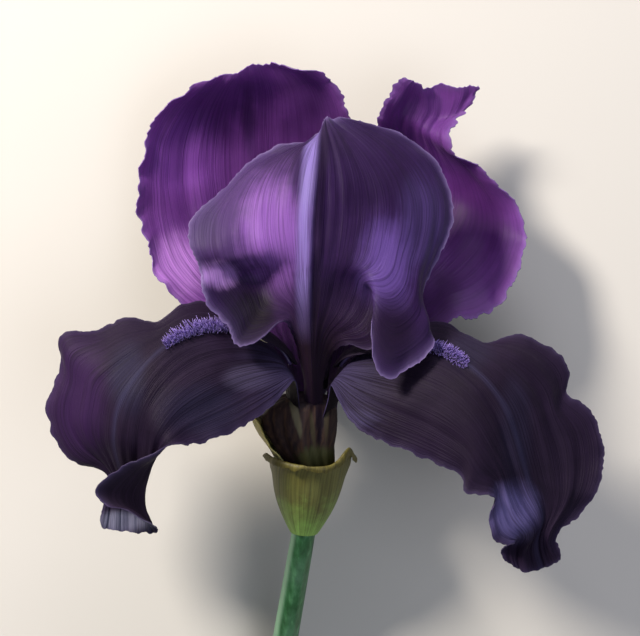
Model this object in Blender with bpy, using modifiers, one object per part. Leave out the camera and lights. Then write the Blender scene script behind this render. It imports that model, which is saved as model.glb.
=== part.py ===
"""Bearded iris flower, picked with a short stem and lying on its back.

Units are millimetres from the heart, the point where the six petals meet, and they become metres when
a piece is made. +X is to the flower's right, +Y runs from the stem to the top of the flower and +Z is
up, away from the surface that it lies on. Each petal is a coarse cage of rows that run across it, from
the claw to the tip, smoothed by Subdivision Surface and given its thickness by Solidify.
"""

import math

import bmesh
import bpy
from mathutils import Matrix, Vector

MM = 0.001

HEART_HEIGHT = 38.0
HEART = Vector((-2.48, 4.19, HEART_HEIGHT))

STEM_RADIUS_CUT = 3.8
STEM_RADIUS_TOP = 3.2
STEM_CUT_END = Vector((-12.9, -97.0, -34.5))
RECEPTACLE = Vector((-3.3, -40.0, -9.5))
TUBE_TOP = Vector((-0.6, -3.0, 0.0))

PETAL_THICKNESS = 0.6
BRACT_THICKNESS = 0.6
STYLE_THICKNESS = 0.6
STYLE_RIDGE_LIFT = 3.5
STYLE_EDGE_LIFT = 2.4
STYLE_HALF_WIDTH = 3.4
CREST_RISE = 1.6
BEARD_RADIUS = 1.0
BEARD_LIFT = 2.2
FILAMENT_RADIUS = 0.5
FILAMENT_LIFT = 1.4
ANTHER_RADIUS = 0.8
ANTHER_LENGTH = 7.0
ANTHER_LIFT = 1.7
OVARY_RADIUS = 4.2
TUBE_SEGMENTS = 36
TUBE_RIBS = 6

PURPLE = (0.10, 0.03, 0.16, 1.0)
DARK_PURPLE = (0.03, 0.012, 0.05, 1.0)
LAVENDER = (0.22, 0.14, 0.42, 1.0)
VIOLET = (0.12, 0.05, 0.20, 1.0)
CREAM = (0.75, 0.70, 0.55, 1.0)
GREEN = (0.10, 0.25, 0.09, 1.0)
OLIVE = (0.30, 0.28, 0.10, 1.0)
BROWN_PURPLE = (0.07, 0.04, 0.05, 1.0)

# Front standard: outer face up, a ridged midrib, lower margins flared over the two mouths.
# Each row: left margin, three across the left wing, midrib, four across the right wing, right margin.
FRONT_STANDARD = [
    [(-3, -2, 5.6), (-2.6, -2, 6.4), (-2, -2, 7), (-1.4, -2, 7.4), (-0.9, -2, 7.6), (-0.4, -2, 7.5),
     (0.1, -2, 7.2), (0.6, -2, 6.8), (1.2, -2, 6.2), (1.7, -2, 5.6)],
    [(-3.2, 4, 7), (-2.9, 4, 8.2), (-2.4, 4, 9.2), (-1.8, 4, 9.8), (-1.2, 4, 10.2), (-0.7, 4, 10),
     (-0.1, 4, 9.4), (0.5, 4, 8.8), (1.2, 4, 8), (1.9, 4, 7)],
    [(-5, 11, 9), (-4.2, 10, 10), (-3.3, 10, 11), (-2.4, 10, 12), (-1.5, 10, 12.6), (-0.7, 10, 12.3),
     (0.4, 10, 11.5), (1.8, 10, 10.6), (3, 9.8, 9.8), (4, 9, 9)],
    [(-7.2, 17, 13), (-6, 16, 12.5), (-4.8, 15.5, 13), (-3.2, 15, 14.2), (-1.7, 15, 15), (-0.4, 15, 14.5),
     (1.6, 15, 13.4), (4, 15, 13.2), (6.2, 14, 13.2), (8, 12, 13.2)],
    [(-9.5, 17.5, 17.5), (-8.4, 18.5, 14), (-6.4, 20, 14), (-4.2, 20.5, 15.6), (-1.8, 20, 16.8),
     (0.2, 20, 16), (4, 19.5, 15.3), (8.5, 17.5, 15.3), (11.5, 14, 15.3), (13.5, 9, 15.3)],
    [(-14.5, 12.5, 20), (-12.5, 17.5, 15.5), (-9, 22, 15), (-5.4, 23.5, 16.2), (-1.8, 24, 18),
     (0.5, 24, 17), (5.5, 24, 15.3), (11, 21.5, 15.5), (15.5, 17.5, 15.5), (19, 11.5, 16)],
    [(-22, 9, 20.5), (-18.5, 16, 16), (-12.5, 23, 13.8), (-6.8, 26.5, 16.6), (-1.8, 27, 18.9),
     (0.8, 27, 17.8), (6.5, 27.5, 16.8), (12.5, 26, 15.5), (17, 25, 14.8), (20, 23.8, 16.5)],
    [(-21.5, 14, 19.5), (-18.5, 19.5, 16), (-13.5, 25.5, 12.3), (-7.4, 29, 17.3), (-1.8, 29.3, 19.4),
     (1, 29.5, 18.2), (7, 30, 18.2), (13, 29, 17.2), (15.6, 26, 20.3), (14.8, 21.5, 22.3)],
    [(-25.5, 19, 19.5), (-21, 24.5, 14), (-14.5, 29.5, 10), (-8, 31.2, 18), (-1.8, 31.3, 19.9),
     (1.2, 31.5, 18.6), (8, 32, 19), (15, 31, 20.3), (17, 20, 23.5), (14.6, 11.5, 24.8)],
    [(-31.5, 23.5, 18), (-24, 30, 12), (-15.5, 34, 11), (-8.5, 33, 18.8), (-1.7, 33.2, 20.4),
     (1.4, 33.5, 19), (8.8, 34, 19.4), (17.3, 32, 20.5), (21, 16.5, 23), (16.8, -0.6, 24.8)],
    [(-30.5, 32.5, 14), (-24, 31, 17), (-16, 32, 17.5), (-9, 35, 19.8), (-1.6, 35, 20.8),
     (1.5, 35.5, 19.3), (9.2, 36, 19.6), (19, 33, 20.2), (24.5, 17.5, 21.3), (25.5, 5, 22)],
    [(-33, 35, 18), (-26.5, 33.8, 21.5), (-18, 34.8, 22), (-9.6, 38, 20.8), (-1.5, 38, 21.2),
     (1.7, 38.5, 19.6), (9.7, 38.5, 19.6), (20.3, 35.5, 19.4), (27.5, 21.5, 18.8), (34.6, 11.6, 19.5)],
    [(-34.5, 40, 15.5), (-27.5, 39, 20.2), (-19, 40, 20.8), (-10.2, 41.5, 20.9), (-1.4, 41.5, 21.5),
     (1.9, 41.5, 19.7), (10.2, 41, 19.4), (21, 38.5, 18.4), (28.5, 30, 15.5), (26.5, 17, 17)],
    [(-34, 45.5, 12.5), (-27.3, 43.5, 17.5), (-19, 44.5, 19.5), (-10.6, 45.5, 20.6), (-1.2, 45.5, 21.6),
     (2.1, 45.5, 19.6), (10.8, 44.5, 19), (21.8, 42.5, 16.8), (31, 36, 12), (29, 25, 13)],
    [(-29.8, 49.3, 10), (-26, 48, 15), (-18.3, 49.5, 17.8), (-10.4, 50.5, 19.6), (-0.8, 50.5, 21.2),
     (2.3, 50, 19.1), (11, 49, 18.2), (22.5, 47.5, 15.2), (32, 43, 9), (33, 35, 8.5)],
    [(-25, 52.5, 8.5), (-22.5, 52.5, 12), (-16.5, 54.5, 15), (-9.6, 55.5, 18), (-0.3, 56, 19.8),
     (2.5, 55, 18), (10.5, 54, 17), (22, 53, 13.2), (32, 50.5, 6.5), (38.5, 45, 4)],
    [(-22.5, 58, 4), (-18.5, 58, 8.5), (-13.5, 59.5, 12), (-8, 60.5, 15.5), (0.1, 61, 17.8),
     (2.6, 60, 16.3), (9.5, 59, 15), (19.5, 59, 11), (28.5, 58, 5), (37, 54.5, 2)],
    [(-16, 64, 1.5), (-13, 62.5, 5), (-9.5, 63.2, 8.8), (-5.2, 64, 12), (0.3, 65, 14.6), (2.5, 65, 13.6),
     (7.5, 64.5, 12.5), (14.5, 65, 9), (22, 65.5, 4.8), (31, 64.5, 2)],
    [(-9, 66.3, 2), (-6.8, 65, 4), (-4.8, 65, 6.8), (-2.2, 65.5, 9.4), (0.4, 68, 11), (2.2, 69.5, 10.4),
     (5, 69.5, 9.2), (9.5, 69.5, 7), (14.5, 70, 4.5), (21.5, 70.5, 3)],
    [(-1.6, 65.3, 5), (-1.1, 66, 5.6), (-0.6, 67.2, 6), (0.1, 69.4, 6.2), (0.9, 72.3, 6.4),
     (2, 73.6, 6.2), (3.3, 73.7, 6), (5.2, 73.5, 5.7), (7.5, 73.2, 5.4), (10, 72.8, 5)],
]

# Left standard: inner face up. Each row: left margin, left wing, midrib, right wing, right margin.
LEFT_STANDARD = [
    [(-6.3, -2, -1.2), (-5.5, -2, -2.2), (-4.7, -2, -3.2), (-3.9, -2, -4.2), (-3.2, -2, -5)],
    [(-10, 8, -2), (-9, 8.5, -5), (-7.6, 9, -8), (-5.8, 10, -9.5), (-4.2, 11, -10)],
    [(-22, 16, -6), (-17, 19, -12), (-12, 21, -17), (-7, 22, -20), (-2.5, 23, -20)],
    [(-34, 22, -6), (-26, 28, -17), (-16, 33, -25), (-8, 35, -28), (0, 36, -26)],
    [(-45, 28, -7), (-35, 37, -22), (-19, 45, -31), (-8, 47, -32), (3, 48, -28)],
    [(-46, 40, -13), (-40, 48, -27), (-21, 56, -33), (-7, 58, -32), (7.5, 59, -26)],
    [(-50, 55, -18), (-41, 60, -30), (-21.5, 66, -32), (-7, 68, -29), (10.5, 69, -20)],
    [(-49.5, 68, -20), (-39, 71, -28), (-21, 76, -28), (-7, 77, -24), (9, 77, -14)],
    [(-42, 78, -17), (-33, 80, -22), (-20.5, 84, -21), (-8, 85, -17), (3, 86, -10)],
    [(-33, 83, -13), (-27, 85, -14), (-20, 90, -14), (-13, 90, -12), (-4, 90, -9)],
]

# Right standard: inner face up, its tip notched between two lobes and its right side a broad lobe.
RIGHT_STANDARD = [
    [(3, -2, -5), (3.7, -2, -4.2), (4.5, -2, -3.2), (5.3, -2, -2.2), (6.1, -2, -1.2)],
    [(4.6, 11, -9), (6, 10, -8.5), (8, 9, -7.5), (9.5, 8.5, -5), (11, 8, -2.5)],
    [(6, 22, -17), (9, 21, -17), (13, 20, -15), (18, 18, -10), (23, 14, -5)],
    [(8, 34, -21), (12, 33, -23), (18, 31, -22), (26, 26, -14), (34, 12, -6)],
    [(11, 45, -22), (16, 44, -26), (22, 41, -27), (33, 33, -19), (38, 19, -7)],
    [(14, 54, -21), (19, 53, -27), (25, 49, -30), (38, 40, -23), (45, 18, -6)],
    [(16, 61, -19), (21, 60, -26), (27, 56, -30), (42, 46, -26), (55, 25, -10)],
    [(18, 67, -16), (23, 66, -23), (28.5, 62, -28), (43, 52, -27), (59.5, 39, -15)],
    [(18, 71, -14), (23, 69.5, -19), (29, 65.5, -24), (40, 58, -25), (56.5, 51, -16)],
    [(18, 74, -13), (23.5, 72, -17.5), (28.5, 68, -21), (36, 62.5, -20), (47.5, 60.5, -14)],
    [(18, 76.5, -12), (24, 74, -16), (28.5, 70, -19), (33.5, 66.5, -17), (40.5, 64.5, -12)],
    [(18.3, 78.5, -11.5), (24.5, 75.5, -15.5), (29, 72, -18), (33.5, 69.3, -17), (37.5, 68.5, -13)],
    [(19.5, 80, -11), (25.5, 77, -15), (30, 74, -18.5), (34.5, 71.8, -19), (39.3, 71.2, -17)],
    [(21.5, 82, -10.5), (26.5, 79.5, -14), (31.5, 76, -18), (36.5, 74, -20.5), (41.5, 75.5, -19.5)],
    [(23.5, 83.2, -9.5), (27, 81.8, -12), (31.2, 78.5, -15.5), (38, 80, -18), (45.5, 82, -16)],
    [(25, 84, -9), (28.3, 83, -11), (31, 80, -14), (37, 83.2, -15), (47, 84.8, -14.5)],
]

# Left fall: upper face up. Each row: far margin, far wing, midrib, near wing, hem, near margin.
LEFT_FALL = [
    [(-8, -3, 1.6), (-7.6, -3, 3), (-6.9, -3, 4.4), (-6.1, -3, 5.6), (-5.4, -3, 6.5), (-4.8, -3, 7.2)],
    [(-9, 6, 0), (-8.7, 6, 2.5), (-8.2, 5.5, 5), (-7.4, 5, 7), (-6.4, 4, 8.6), (-5.6, 3, 10)],
    [(-14, 13, 0), (-13.5, 12.5, 4), (-13, 11, 7.5), (-12, 8.5, 10), (-10.5, 4, 12), (-8.5, -2, 12.5)],
    [(-21, 18, 1), (-20.5, 17, 6), (-20, 15, 10.5), (-19, 10.5, 14), (-17.5, 3, 16), (-14, -7, 15.5)],
    [(-29, 22, 2), (-28.5, 19.5, 8), (-28, 16, 13.5), (-27, 10, 17.5), (-25.5, 0, 19.5), (-21, -12, 18)],
    [(-37, 24, 4), (-36.5, 19, 11), (-35.5, 14.5, 17), (-34.5, 7.5, 20.5), (-32.5, -4, 22),
     (-28, -14.5, 20)],
    [(-43, 16, 9), (-43, 15, 14.5), (-42, 10.5, 20), (-40.5, 2, 23), (-38, -8, 24), (-34.5, -15.5, 21.5)],
    [(-54, 21, 8), (-51, 11, 16), (-47, 4.5, 22), (-45, -4, 24.5), (-42, -14, 24), (-37, -17, 26)],
    [(-60.5, 14, 9), (-58, 7, 16), (-50.5, -1.5, 22.5), (-47, -9, 24), (-41.5, -18, 22),
     (-41.5, -16.5, 27.5)],
    [(-71.5, 15.5, 7), (-63, 3, 15), (-52.5, -7.5, 22), (-47.5, -14.5, 22.5), (-42, -21, 20),
     (-45.5, -18.5, 27.5)],
    [(-67.5, 5.5, 8.5), (-63.5, -1, 15), (-52.8, -10.5, 21.7), (-47.5, -17, 21.5), (-42.3, -23.5, 18.5),
     (-49, -21, 26.5)],
    [(-73.2, -2, 8), (-64.5, -6, 15), (-53, -13.5, 21), (-47.8, -20, 20), (-43, -26, 17),
     (-53, -23.5, 25)],
    [(-73.4, -11.5, 9), (-64.5, -10.5, 15), (-52.5, -18, 18.5), (-48, -25, 16), (-43.5, -30, 15),
     (-60, -27.5, 22)],
    [(-67, -22.5, 10), (-59.5, -16, 14), (-52, -23, 15.5), (-48, -29.5, 13), (-44, -34, 13),
     (-58, -31.5, 20)],
    [(-53.6, -21.5, 11), (-53.3, -24, 12.5), (-52, -28.5, 12), (-48, -34, 10.5), (-43.5, -37, 12),
     (-50.5, -33, 18.5)],
    [(-56, -30, 12), (-55.5, -32, 11), (-52, -35, 10), (-48, -37.5, 9.5), (-43, -38.5, 11),
     (-45.5, -35.5, 15.5)],
    [(-60, -38, 13), (-55.5, -39.5, 11), (-51.5, -40, 10), (-48, -40.2, 10), (-44, -40, 10.5),
     (-42, -38, 12.5)],
]

# Right fall: upper face up. Each row: near margin, hem, near wing, midrib, far wing, far margin.
RIGHT_FALL = [
    [(3.8, -3, 7.2), (4.4, -3, 6.5), (5.1, -3, 5.6), (5.9, -3, 4.4), (6.6, -3, 3), (7, -3, 1.6)],
    [(3.8, 2, 10), (4.8, 3, 8.6), (6.4, 4, 7), (7.6, 4.5, 5), (8.3, 5, 2.5), (8.8, 5, 0)],
    [(7, -6.5, 12.5), (9, 0.5, 12), (11, 5.5, 10), (12.5, 8.5, 7.5), (13.2, 10, 4), (13.8, 10.5, 0)],
    [(12.5, -13, 15.5), (16, -3, 16), (18.5, 5.5, 14), (20, 11, 10.5), (20.8, 13.5, 6), (21.3, 14, 1)],
    [(20.5, -16, 18), (24, -5.5, 19.5), (26.5, 4.5, 17.5), (28, 11.5, 13.5), (29, 15, 8),
     (29.5, 16.5, 2)],
    [(29, -19, 20), (31.5, -9, 22), (34, 2, 20.5), (35.5, 10.5, 17), (37, 15, 11), (38, 18, 4)],
    [(36, -22, 21.5), (38, -13, 24), (40, -2.5, 23), (42, 6, 20), (44, 11, 14.5), (46, 11, 8)],
    [(40, -24, 24), (42, -17, 25), (44, -8, 24.5), (47, 0.5, 22), (52, 7, 16), (53, 14.5, 8)],
    [(38.5, -29.5, 27), (44, -22, 25), (47, -13, 24.5), (50.5, -6, 22.5), (58, 3, 16), (63, 11, 8)],
    [(48, -29, 24), (47.5, -25, 22), (49.5, -18.5, 23), (52.5, -12, 22), (62, -1.5, 15), (70.5, 3, 8)],
    [(46, -32, 23), (48.5, -29, 21), (51.5, -23.5, 21), (54, -18, 21), (64.5, -8, 15), (66.5, -3, 12)],
    [(46, -37, 24), (49.5, -33, 21), (52.5, -28.5, 19), (55.5, -24, 19), (66, -14, 15), (76, -5, 10)],
    [(47, -43, 25), (51.5, -38, 21), (54.5, -33, 18), (57.5, -29, 17.5), (66.5, -20, 15), (79, -17, 11)],
    [(54, -42.5, 22), (55, -40.5, 19), (57.5, -37, 17), (60, -33, 16), (66.5, -26, 14.5),
     (76.5, -28, 12)],
    [(51.5, -41.5, 17), (55.5, -41.5, 16), (59.5, -40, 15), (61.5, -37, 14.5), (66, -32, 14),
     (71, -36.5, 13)],
    [(50, -43.5, 13), (53.5, -44.5, 13), (56.5, -44, 13), (59, -43, 13), (61, -42, 13.5), (63, -41, 14)],
    [(52, -47, 12), (55, -49.5, 12), (58, -50.5, 12), (61.5, -50.5, 12), (65, -49, 12.5),
     (67.5, -46.5, 13)],
]

# Back fall: the flower's weight has folded it up behind the standards, its blade flat on the surface.
# Each row: left margin, left wing, midrib, right wing, right margin.
BLADE_Z = PETAL_THICKNESS / 2 - HEART_HEIGHT
BACK_FALL = [
    [(-3.2, -1.2, -5.6), (-2.0, -1.2, -6.2), (-0.6, -1.2, -6.6), (0.8, -1.2, -6.2), (2.0, -1.2, -5.6)],
    [(-6, 0, -12), (-3.5, -2, -13), (0, -3, -13.5), (3.5, -2, -13), (6, 0, -12)],
    [(-9, 2, -20), (-5, -1, -22), (0, -2.5, -23), (5, -1, -22), (9, 2, -20)],
    [(-14, 7, -27), (-8, 3, -30), (0, 1, -31.5), (8, 3, -30), (14, 7, -27)],
    [(-21, 13, -33), (-11, 9.5, -36), (0, 8, BLADE_Z), (11, 9.5, -36), (21, 13, -33)],
    [(-29, 22, -35.5), (-14, 19, BLADE_Z), (0, 18, BLADE_Z), (14, 19, BLADE_Z), (29, 22, -36)],
    [(-34, 34, -36.5), (-16, 32, BLADE_Z), (0, 31, BLADE_Z), (16, 32, BLADE_Z), (34, 34, -35.5)],
    [(-34, 47, -35.5), (-16, 45, BLADE_Z), (0, 45, BLADE_Z), (16, 45, BLADE_Z), (34, 47, -36.5)],
    [(-30, 60, -36.5), (-15, 59, BLADE_Z), (0, 59, BLADE_Z), (15, 59, BLADE_Z), (30, 60, -35.5)],
    [(-19, 70, -36), (-10, 73, BLADE_Z), (0, 74, BLADE_Z), (10, 73, BLADE_Z), (19, 70, -36.5)],
]

# Each fall's cage, the column of its midrib, the rows that its beard runs between, and the room that the
# hollow of its claw needs under whatever is held over it.
FALLS = {
    "left": (LEFT_FALL, 2, 3, 6, 0.0),
    "right": (RIGHT_FALL, 3, 4, 7, 0.0),
    "back": (BACK_FALL, 2, 4, 6, 1.8),
}
CLAW_ROWS = 3
STYLE_REACH = 0.5

# Perianth tube, turned about the flower's axis: height above the receptacle, half-widths, shift to the left.
TUBE_STATIONS = [
    (15.3, 4.9, 4.9, 0),
    (17.5, 6, 5.7, 0),
    (20, 7.3, 6.6, 0),
    (25, 9, 7.4, 2.2),
    (29, 10.6, 7.9, 3.4),
    (32.5, 10.9, 8, 3.7),
    (36, 9.2, 7.3, 2.6),
]
RIB_DEPTH = 0.35

# Ovary, turned about the flower's axis: height above the receptacle and share of its full radius.
OVARY_PROFILE = [(0.4, 0.0), (0.4, 0.50), (3.5, 0.72), (7.0, 1.0), (11.0, 0.96), (15.0, 0.80), (15.0, 0.0)]

# Bracts, wrapped round the flower's axis: height, radius, and the two margins' angles. Front is -90 degrees.
OUTER_BRACT = [
    (1.2, 3.4, 74, 232),
    (3.5, 4.4, 74, 232),
    (8, 6.2, 76, 232),
    (13, 7.7, 80, 230),
    (17, 8.3, 86, 227),
    (20, 9.1, 94, 224),
    (23.5, 11.2, 106, 221),
    (27, 14.2, 122, 217),
    (30, 16.7, 142, 210),
    (32, 18, 156, 202),
]
FRONT_BRACT = [
    (0.2, 4.4, -196, 16),
    (3, 5.9, -196, 16),
    (7, 7.8, -194, 14),
    (11.5, 9.2, -192, 12),
    (15.5, 9.8, -189, 10),
    (18, 10.3, -186, 8),
    (20, 10.9, -178, 4),
    (21.4, 11.4, -171, 0),
    (21.8, 12, -168, -2),
    (21, 12.4, -167, -3),
    (20.1, 12.2, -167, -3),
]
BRACT_COLUMNS = 8


def clear_scene():
    """Remove whatever the scene starts with."""
    for obj in list(bpy.data.objects):
        bpy.data.objects.remove(obj)


def finish(name, colour, roughness):
    """A plain material of one colour and roughness."""
    made = bpy.data.materials.new(name)
    made.use_nodes = True
    shader = made.node_tree.nodes["Principled BSDF"]
    shader.inputs["Base Color"].default_value = colour
    shader.inputs["Roughness"].default_value = roughness
    shader.inputs["Metallic"].default_value = 0.0
    return made


def placed(point):
    """A point in millimetres from the heart, as metres in the part's own frame."""
    return (HEART + Vector(point)) * MM


def into(collection, obj, name, coat):
    """Name an object, paint it and move it to the flower's collection."""
    obj.name = name
    obj.data.name = name
    obj.data.materials.clear()
    obj.data.materials.append(coat)
    for held in list(obj.users_collection):
        held.objects.unlink(obj)
    collection.objects.link(obj)
    return obj


def smooth(obj):
    """Shade a mesh smooth, with its sharp edges kept."""
    obj.data.shade_smooth()
    obj.data.set_sharp_from_angle(angle=math.radians(50))


def sheet(collection, name, rows, thickness, coat):
    """A thin curved piece: a grid shaped by the cage's rows, smoothed, then thickened both ways."""
    across = len(rows[0])
    bpy.ops.mesh.primitive_grid_add(x_subdivisions=across - 1, y_subdivisions=len(rows) - 1, size=1.0)
    obj = into(collection, bpy.context.object, name, coat)
    cage = [point for row in rows for point in row]
    for vertex, point in zip(obj.data.vertices, cage, strict=True):
        vertex.co = placed(point)
    smoother = obj.modifiers.new("smooth", "SUBSURF")
    smoother.levels = 1
    smoother.render_levels = 1
    wall = obj.modifiers.new("wall", "SOLIDIFY")
    wall.thickness = thickness * MM
    wall.offset = 0.0
    smooth(obj)
    return obj


def round_cord(collection, name, points, radii, coat, sides=2):
    """A round stalk along a smooth line of points, with closed ends."""
    curve = bpy.data.curves.new(name, "CURVE")
    curve.dimensions = "3D"
    curve.bevel_depth = MM
    curve.bevel_resolution = sides
    curve.use_fill_caps = True
    line = curve.splines.new("POLY")
    line.points.add(len(points) - 1)
    for knot, point, radius in zip(line.points, points, radii, strict=True):
        knot.co = (*placed(point), 1.0)
        knot.radius = radius
    obj = bpy.data.objects.new(name, curve)
    bpy.context.scene.collection.objects.link(obj)
    return into(collection, obj, name, coat)


def head_frame():
    """The flower's own axis: +Z along it from the receptacle, +X to the right and -Y towards the front."""
    along = (TUBE_TOP - RECEPTACLE).normalized()
    right = (Vector((1, 0, 0)) - along * along.x).normalized()
    back = along.cross(right)
    turn = Matrix((right, back, along)).transposed().to_4x4()
    return Matrix.Translation(placed(RECEPTACLE)) @ turn


def ribbed_tube(collection, coat):
    """The perianth tube: rings lofted by extruding the rim upwards, with six shallow ribs."""
    mesh = bpy.data.meshes.new("perianth_tube")
    shape = bmesh.new()
    made = bmesh.ops.create_circle(shape, cap_ends=True, segments=TUBE_SEGMENTS, radius=1.0)
    ring = list(made["verts"])
    rim = [edge for edge in shape.edges if len(edge.link_faces) == 1]
    place_ring(ring, TUBE_STATIONS[0])
    for station in TUBE_STATIONS[1:]:
        grown = bmesh.ops.extrude_edge_only(shape, edges=rim)["geom"]
        ring = [item for item in grown if isinstance(item, bmesh.types.BMVert)]
        rim = [item for item in grown if isinstance(item, bmesh.types.BMEdge)]
        place_ring(ring, station)
    bmesh.ops.contextual_create(shape, geom=rim)
    bmesh.ops.recalc_face_normals(shape, faces=shape.faces)
    shape.to_mesh(mesh)
    shape.free()
    obj = bpy.data.objects.new("perianth_tube", mesh)
    bpy.context.scene.collection.objects.link(obj)
    obj.matrix_world = head_frame()
    smooth(obj)
    return into(collection, obj, "perianth_tube", coat)


def place_ring(ring, station):
    """Move a ring of vertices to its station on the tube, keeping each vertex at its own angle."""
    height, wide, deep, shift = station
    middle = sum((vertex.co for vertex in ring), Vector()) / len(ring)
    for vertex in ring:
        angle = math.atan2(vertex.co.y - middle.y, vertex.co.x - middle.x)
        swell = 1.0 + RIB_DEPTH / wide * math.cos(TUBE_RIBS * (angle + math.pi / 2))
        across = wide * swell * math.cos(angle) - shift
        vertex.co = Vector((across, deep * swell * math.sin(angle), height)) * MM


def turned_ovary(collection, coat):
    """The ovary, a profile turned about the flower's axis."""
    mesh = bpy.data.meshes.new("ovary")
    outline = [(share * OVARY_RADIUS * MM, 0.0, height * MM) for height, share in reversed(OVARY_PROFILE)]
    edges = [(i, i + 1) for i in range(len(outline) - 1)]
    mesh.from_pydata(outline, edges, [])
    obj = bpy.data.objects.new("ovary", mesh)
    bpy.context.scene.collection.objects.link(obj)
    turn = obj.modifiers.new("turn", "SCREW")
    turn.steps = 24
    turn.render_steps = 24
    turn.use_merge_vertices = True
    turn.merge_threshold = 0.00001
    obj.matrix_world = head_frame()
    return into(collection, obj, "ovary", coat)


def wrapped(stations):
    """A bract's rows, each an arc about the flower's axis, in millimetres from the heart."""
    frame = head_frame()
    rows = []
    for height, radius, start, end in stations:
        row = []
        for column in range(BRACT_COLUMNS):
            angle = math.radians(start + (end - start) * column / (BRACT_COLUMNS - 1))
            spot = frame @ (Vector((radius * math.cos(angle), radius * math.sin(angle), height)) * MM)
            row.append(spot / MM - HEART)
        rows.append(row)
    return rows


def lifted(side, row, lift, sideways=0.0):
    """A point over a fall's midrib: lifted off its upper face and moved sideways across it."""
    cage, rib, _, _, room = FALLS[side]
    middle = Vector(cage[row][rib])
    along = Vector(cage[row + 1][rib]) - Vector(cage[row - 1][rib])
    across = (Vector(cage[row][rib + 1]) - Vector(cage[row][rib - 1])).normalized()
    up = along.cross(across).normalized()
    if side == "back":
        up.negate()
    return middle + up * (lift + room) + across * sideways


def beard(collection, side, coat):
    """The beard: a plump cord lifted clear of the fall's midrib."""
    first, last = FALLS[side][2:4]
    spine = [lifted(side, row, BEARD_LIFT) for row in range(first, last + 1)]
    spine[0] = spine[0].lerp(spine[1], 0.4)
    radii = [BEARD_RADIUS] * len(spine)
    radii[0] = radii[-1] = BEARD_RADIUS * 0.6
    return round_cord(collection, f"{side}_beard", spine, radii, coat)


def style_arm(collection, side, coat):
    """A narrow petal roofed over the fall's claw, its end turned up in a crest of two lobes."""
    rows = []
    for row in range(1, CLAW_ROWS + 1):
        edges = [lifted(side, row, STYLE_EDGE_LIFT, STYLE_HALF_WIDTH * sign) for sign in (-1, 1)]
        rows.append([edges[0], lifted(side, row, STYLE_RIDGE_LIFT), edges[1]])
    rows[-1] = [before.lerp(after, STYLE_REACH) for before, after in zip(rows[-2], rows[-1])]
    onward = (rows[-1][1] - rows[-2][1]).normalized()
    up = onward.cross((rows[-1][2] - rows[-1][0]).normalized()).normalized()
    up *= math.copysign(1.0, up.dot(lifted(side, CLAW_ROWS, 2.0) - lifted(side, CLAW_ROWS, 1.0)))
    rows.append([point + onward * 3.0 + up * (CREST_RISE * rise)
                 for point, rise in zip(rows[-1], (1.0, 0.3, 1.0))])
    return sheet(collection, f"{side}_style_arm", rows, STYLE_THICKNESS, coat)


def stamen(collection, side, stalk_coat, anther_coat):
    """A filament and the long anther that it holds under the style arm."""
    root, tip = (lifted(side, row, FILAMENT_LIFT) for row in (1, 2))
    root = root.lerp(tip, 0.15)
    onward = lifted(side, 3, ANTHER_LIFT) - tip
    elbow = (root + tip) / 2
    round_cord(collection, f"{side}_filament", [root, elbow, tip], [FILAMENT_RADIUS] * 3, stalk_coat)
    centre = tip + onward.normalized() * (ANTHER_LENGTH / 2 + FILAMENT_RADIUS + 0.4)
    bpy.ops.mesh.primitive_uv_sphere_add(segments=10, ring_count=8, radius=1.0)
    obj = into(collection, bpy.context.object, f"{side}_anther", anther_coat)
    size = Matrix.Diagonal((ANTHER_RADIUS, ANTHER_RADIUS, ANTHER_LENGTH / 2)) * MM
    obj.data.transform(size.to_4x4())
    obj.rotation_mode = "QUATERNION"
    obj.rotation_quaternion = onward.to_track_quat("Z", "Y")
    obj.location = placed(centre)
    smooth(obj)


def build():
    """Make the whole flower."""
    clear_scene()
    flower = bpy.data.collections.new("bearded_iris_flower")
    bpy.context.scene.collection.children.link(flower)

    purple = finish("standard_purple", PURPLE, 0.6)
    dark = finish("fall_purple", DARK_PURPLE, 0.7)
    violet = finish("style_violet", VIOLET, 0.6)
    lavender = finish("beard_lavender", LAVENDER, 0.8)
    cream = finish("anther_cream", CREAM, 0.7)
    green = finish("stem_green", GREEN, 0.5)
    olive = finish("bract_olive", OLIVE, 0.7)
    brown = finish("tube_brown_purple", BROWN_PURPLE, 0.5)

    stem_line = [STEM_CUT_END.lerp(RECEPTACLE, share) for share in (0.0, 0.33, 0.66, 0.985)]
    widths = [STEM_RADIUS_CUT + (STEM_RADIUS_TOP - STEM_RADIUS_CUT) * share
              for share in (0.0, 0.33, 0.66, 1.0)]
    round_cord(flower, "stem", stem_line, widths, green, sides=4)
    turned_ovary(flower, green)
    ribbed_tube(flower, brown)
    sheet(flower, "outer_bract", wrapped(OUTER_BRACT), BRACT_THICKNESS, olive)
    sheet(flower, "front_bract", wrapped(FRONT_BRACT), BRACT_THICKNESS, olive)

    sheet(flower, "front_standard", FRONT_STANDARD, PETAL_THICKNESS, purple)
    sheet(flower, "left_standard", LEFT_STANDARD, PETAL_THICKNESS, purple)
    sheet(flower, "right_standard", RIGHT_STANDARD, PETAL_THICKNESS, purple)
    sheet(flower, "left_fall", LEFT_FALL, PETAL_THICKNESS, dark)
    sheet(flower, "right_fall", RIGHT_FALL, PETAL_THICKNESS, dark)
    sheet(flower, "back_fall", BACK_FALL, PETAL_THICKNESS, dark)

    for side in FALLS:
        style_arm(flower, side, violet)
        beard(flower, side, lavender)
        stamen(flower, side, violet, cream)


build()
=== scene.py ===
"""A picked bearded iris flower, lying on its back on a pale table, seen from straight above.

Sizes are in millimetres and are turned to metres where a mesh is placed. +X is to the flower's right,
+Y runs from the cut stem to the top of the flower and +Z is up from the table.
"""
import math
import random

import bmesh
import bpy
import numpy as np
from mathutils import Matrix, Vector, noise


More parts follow.
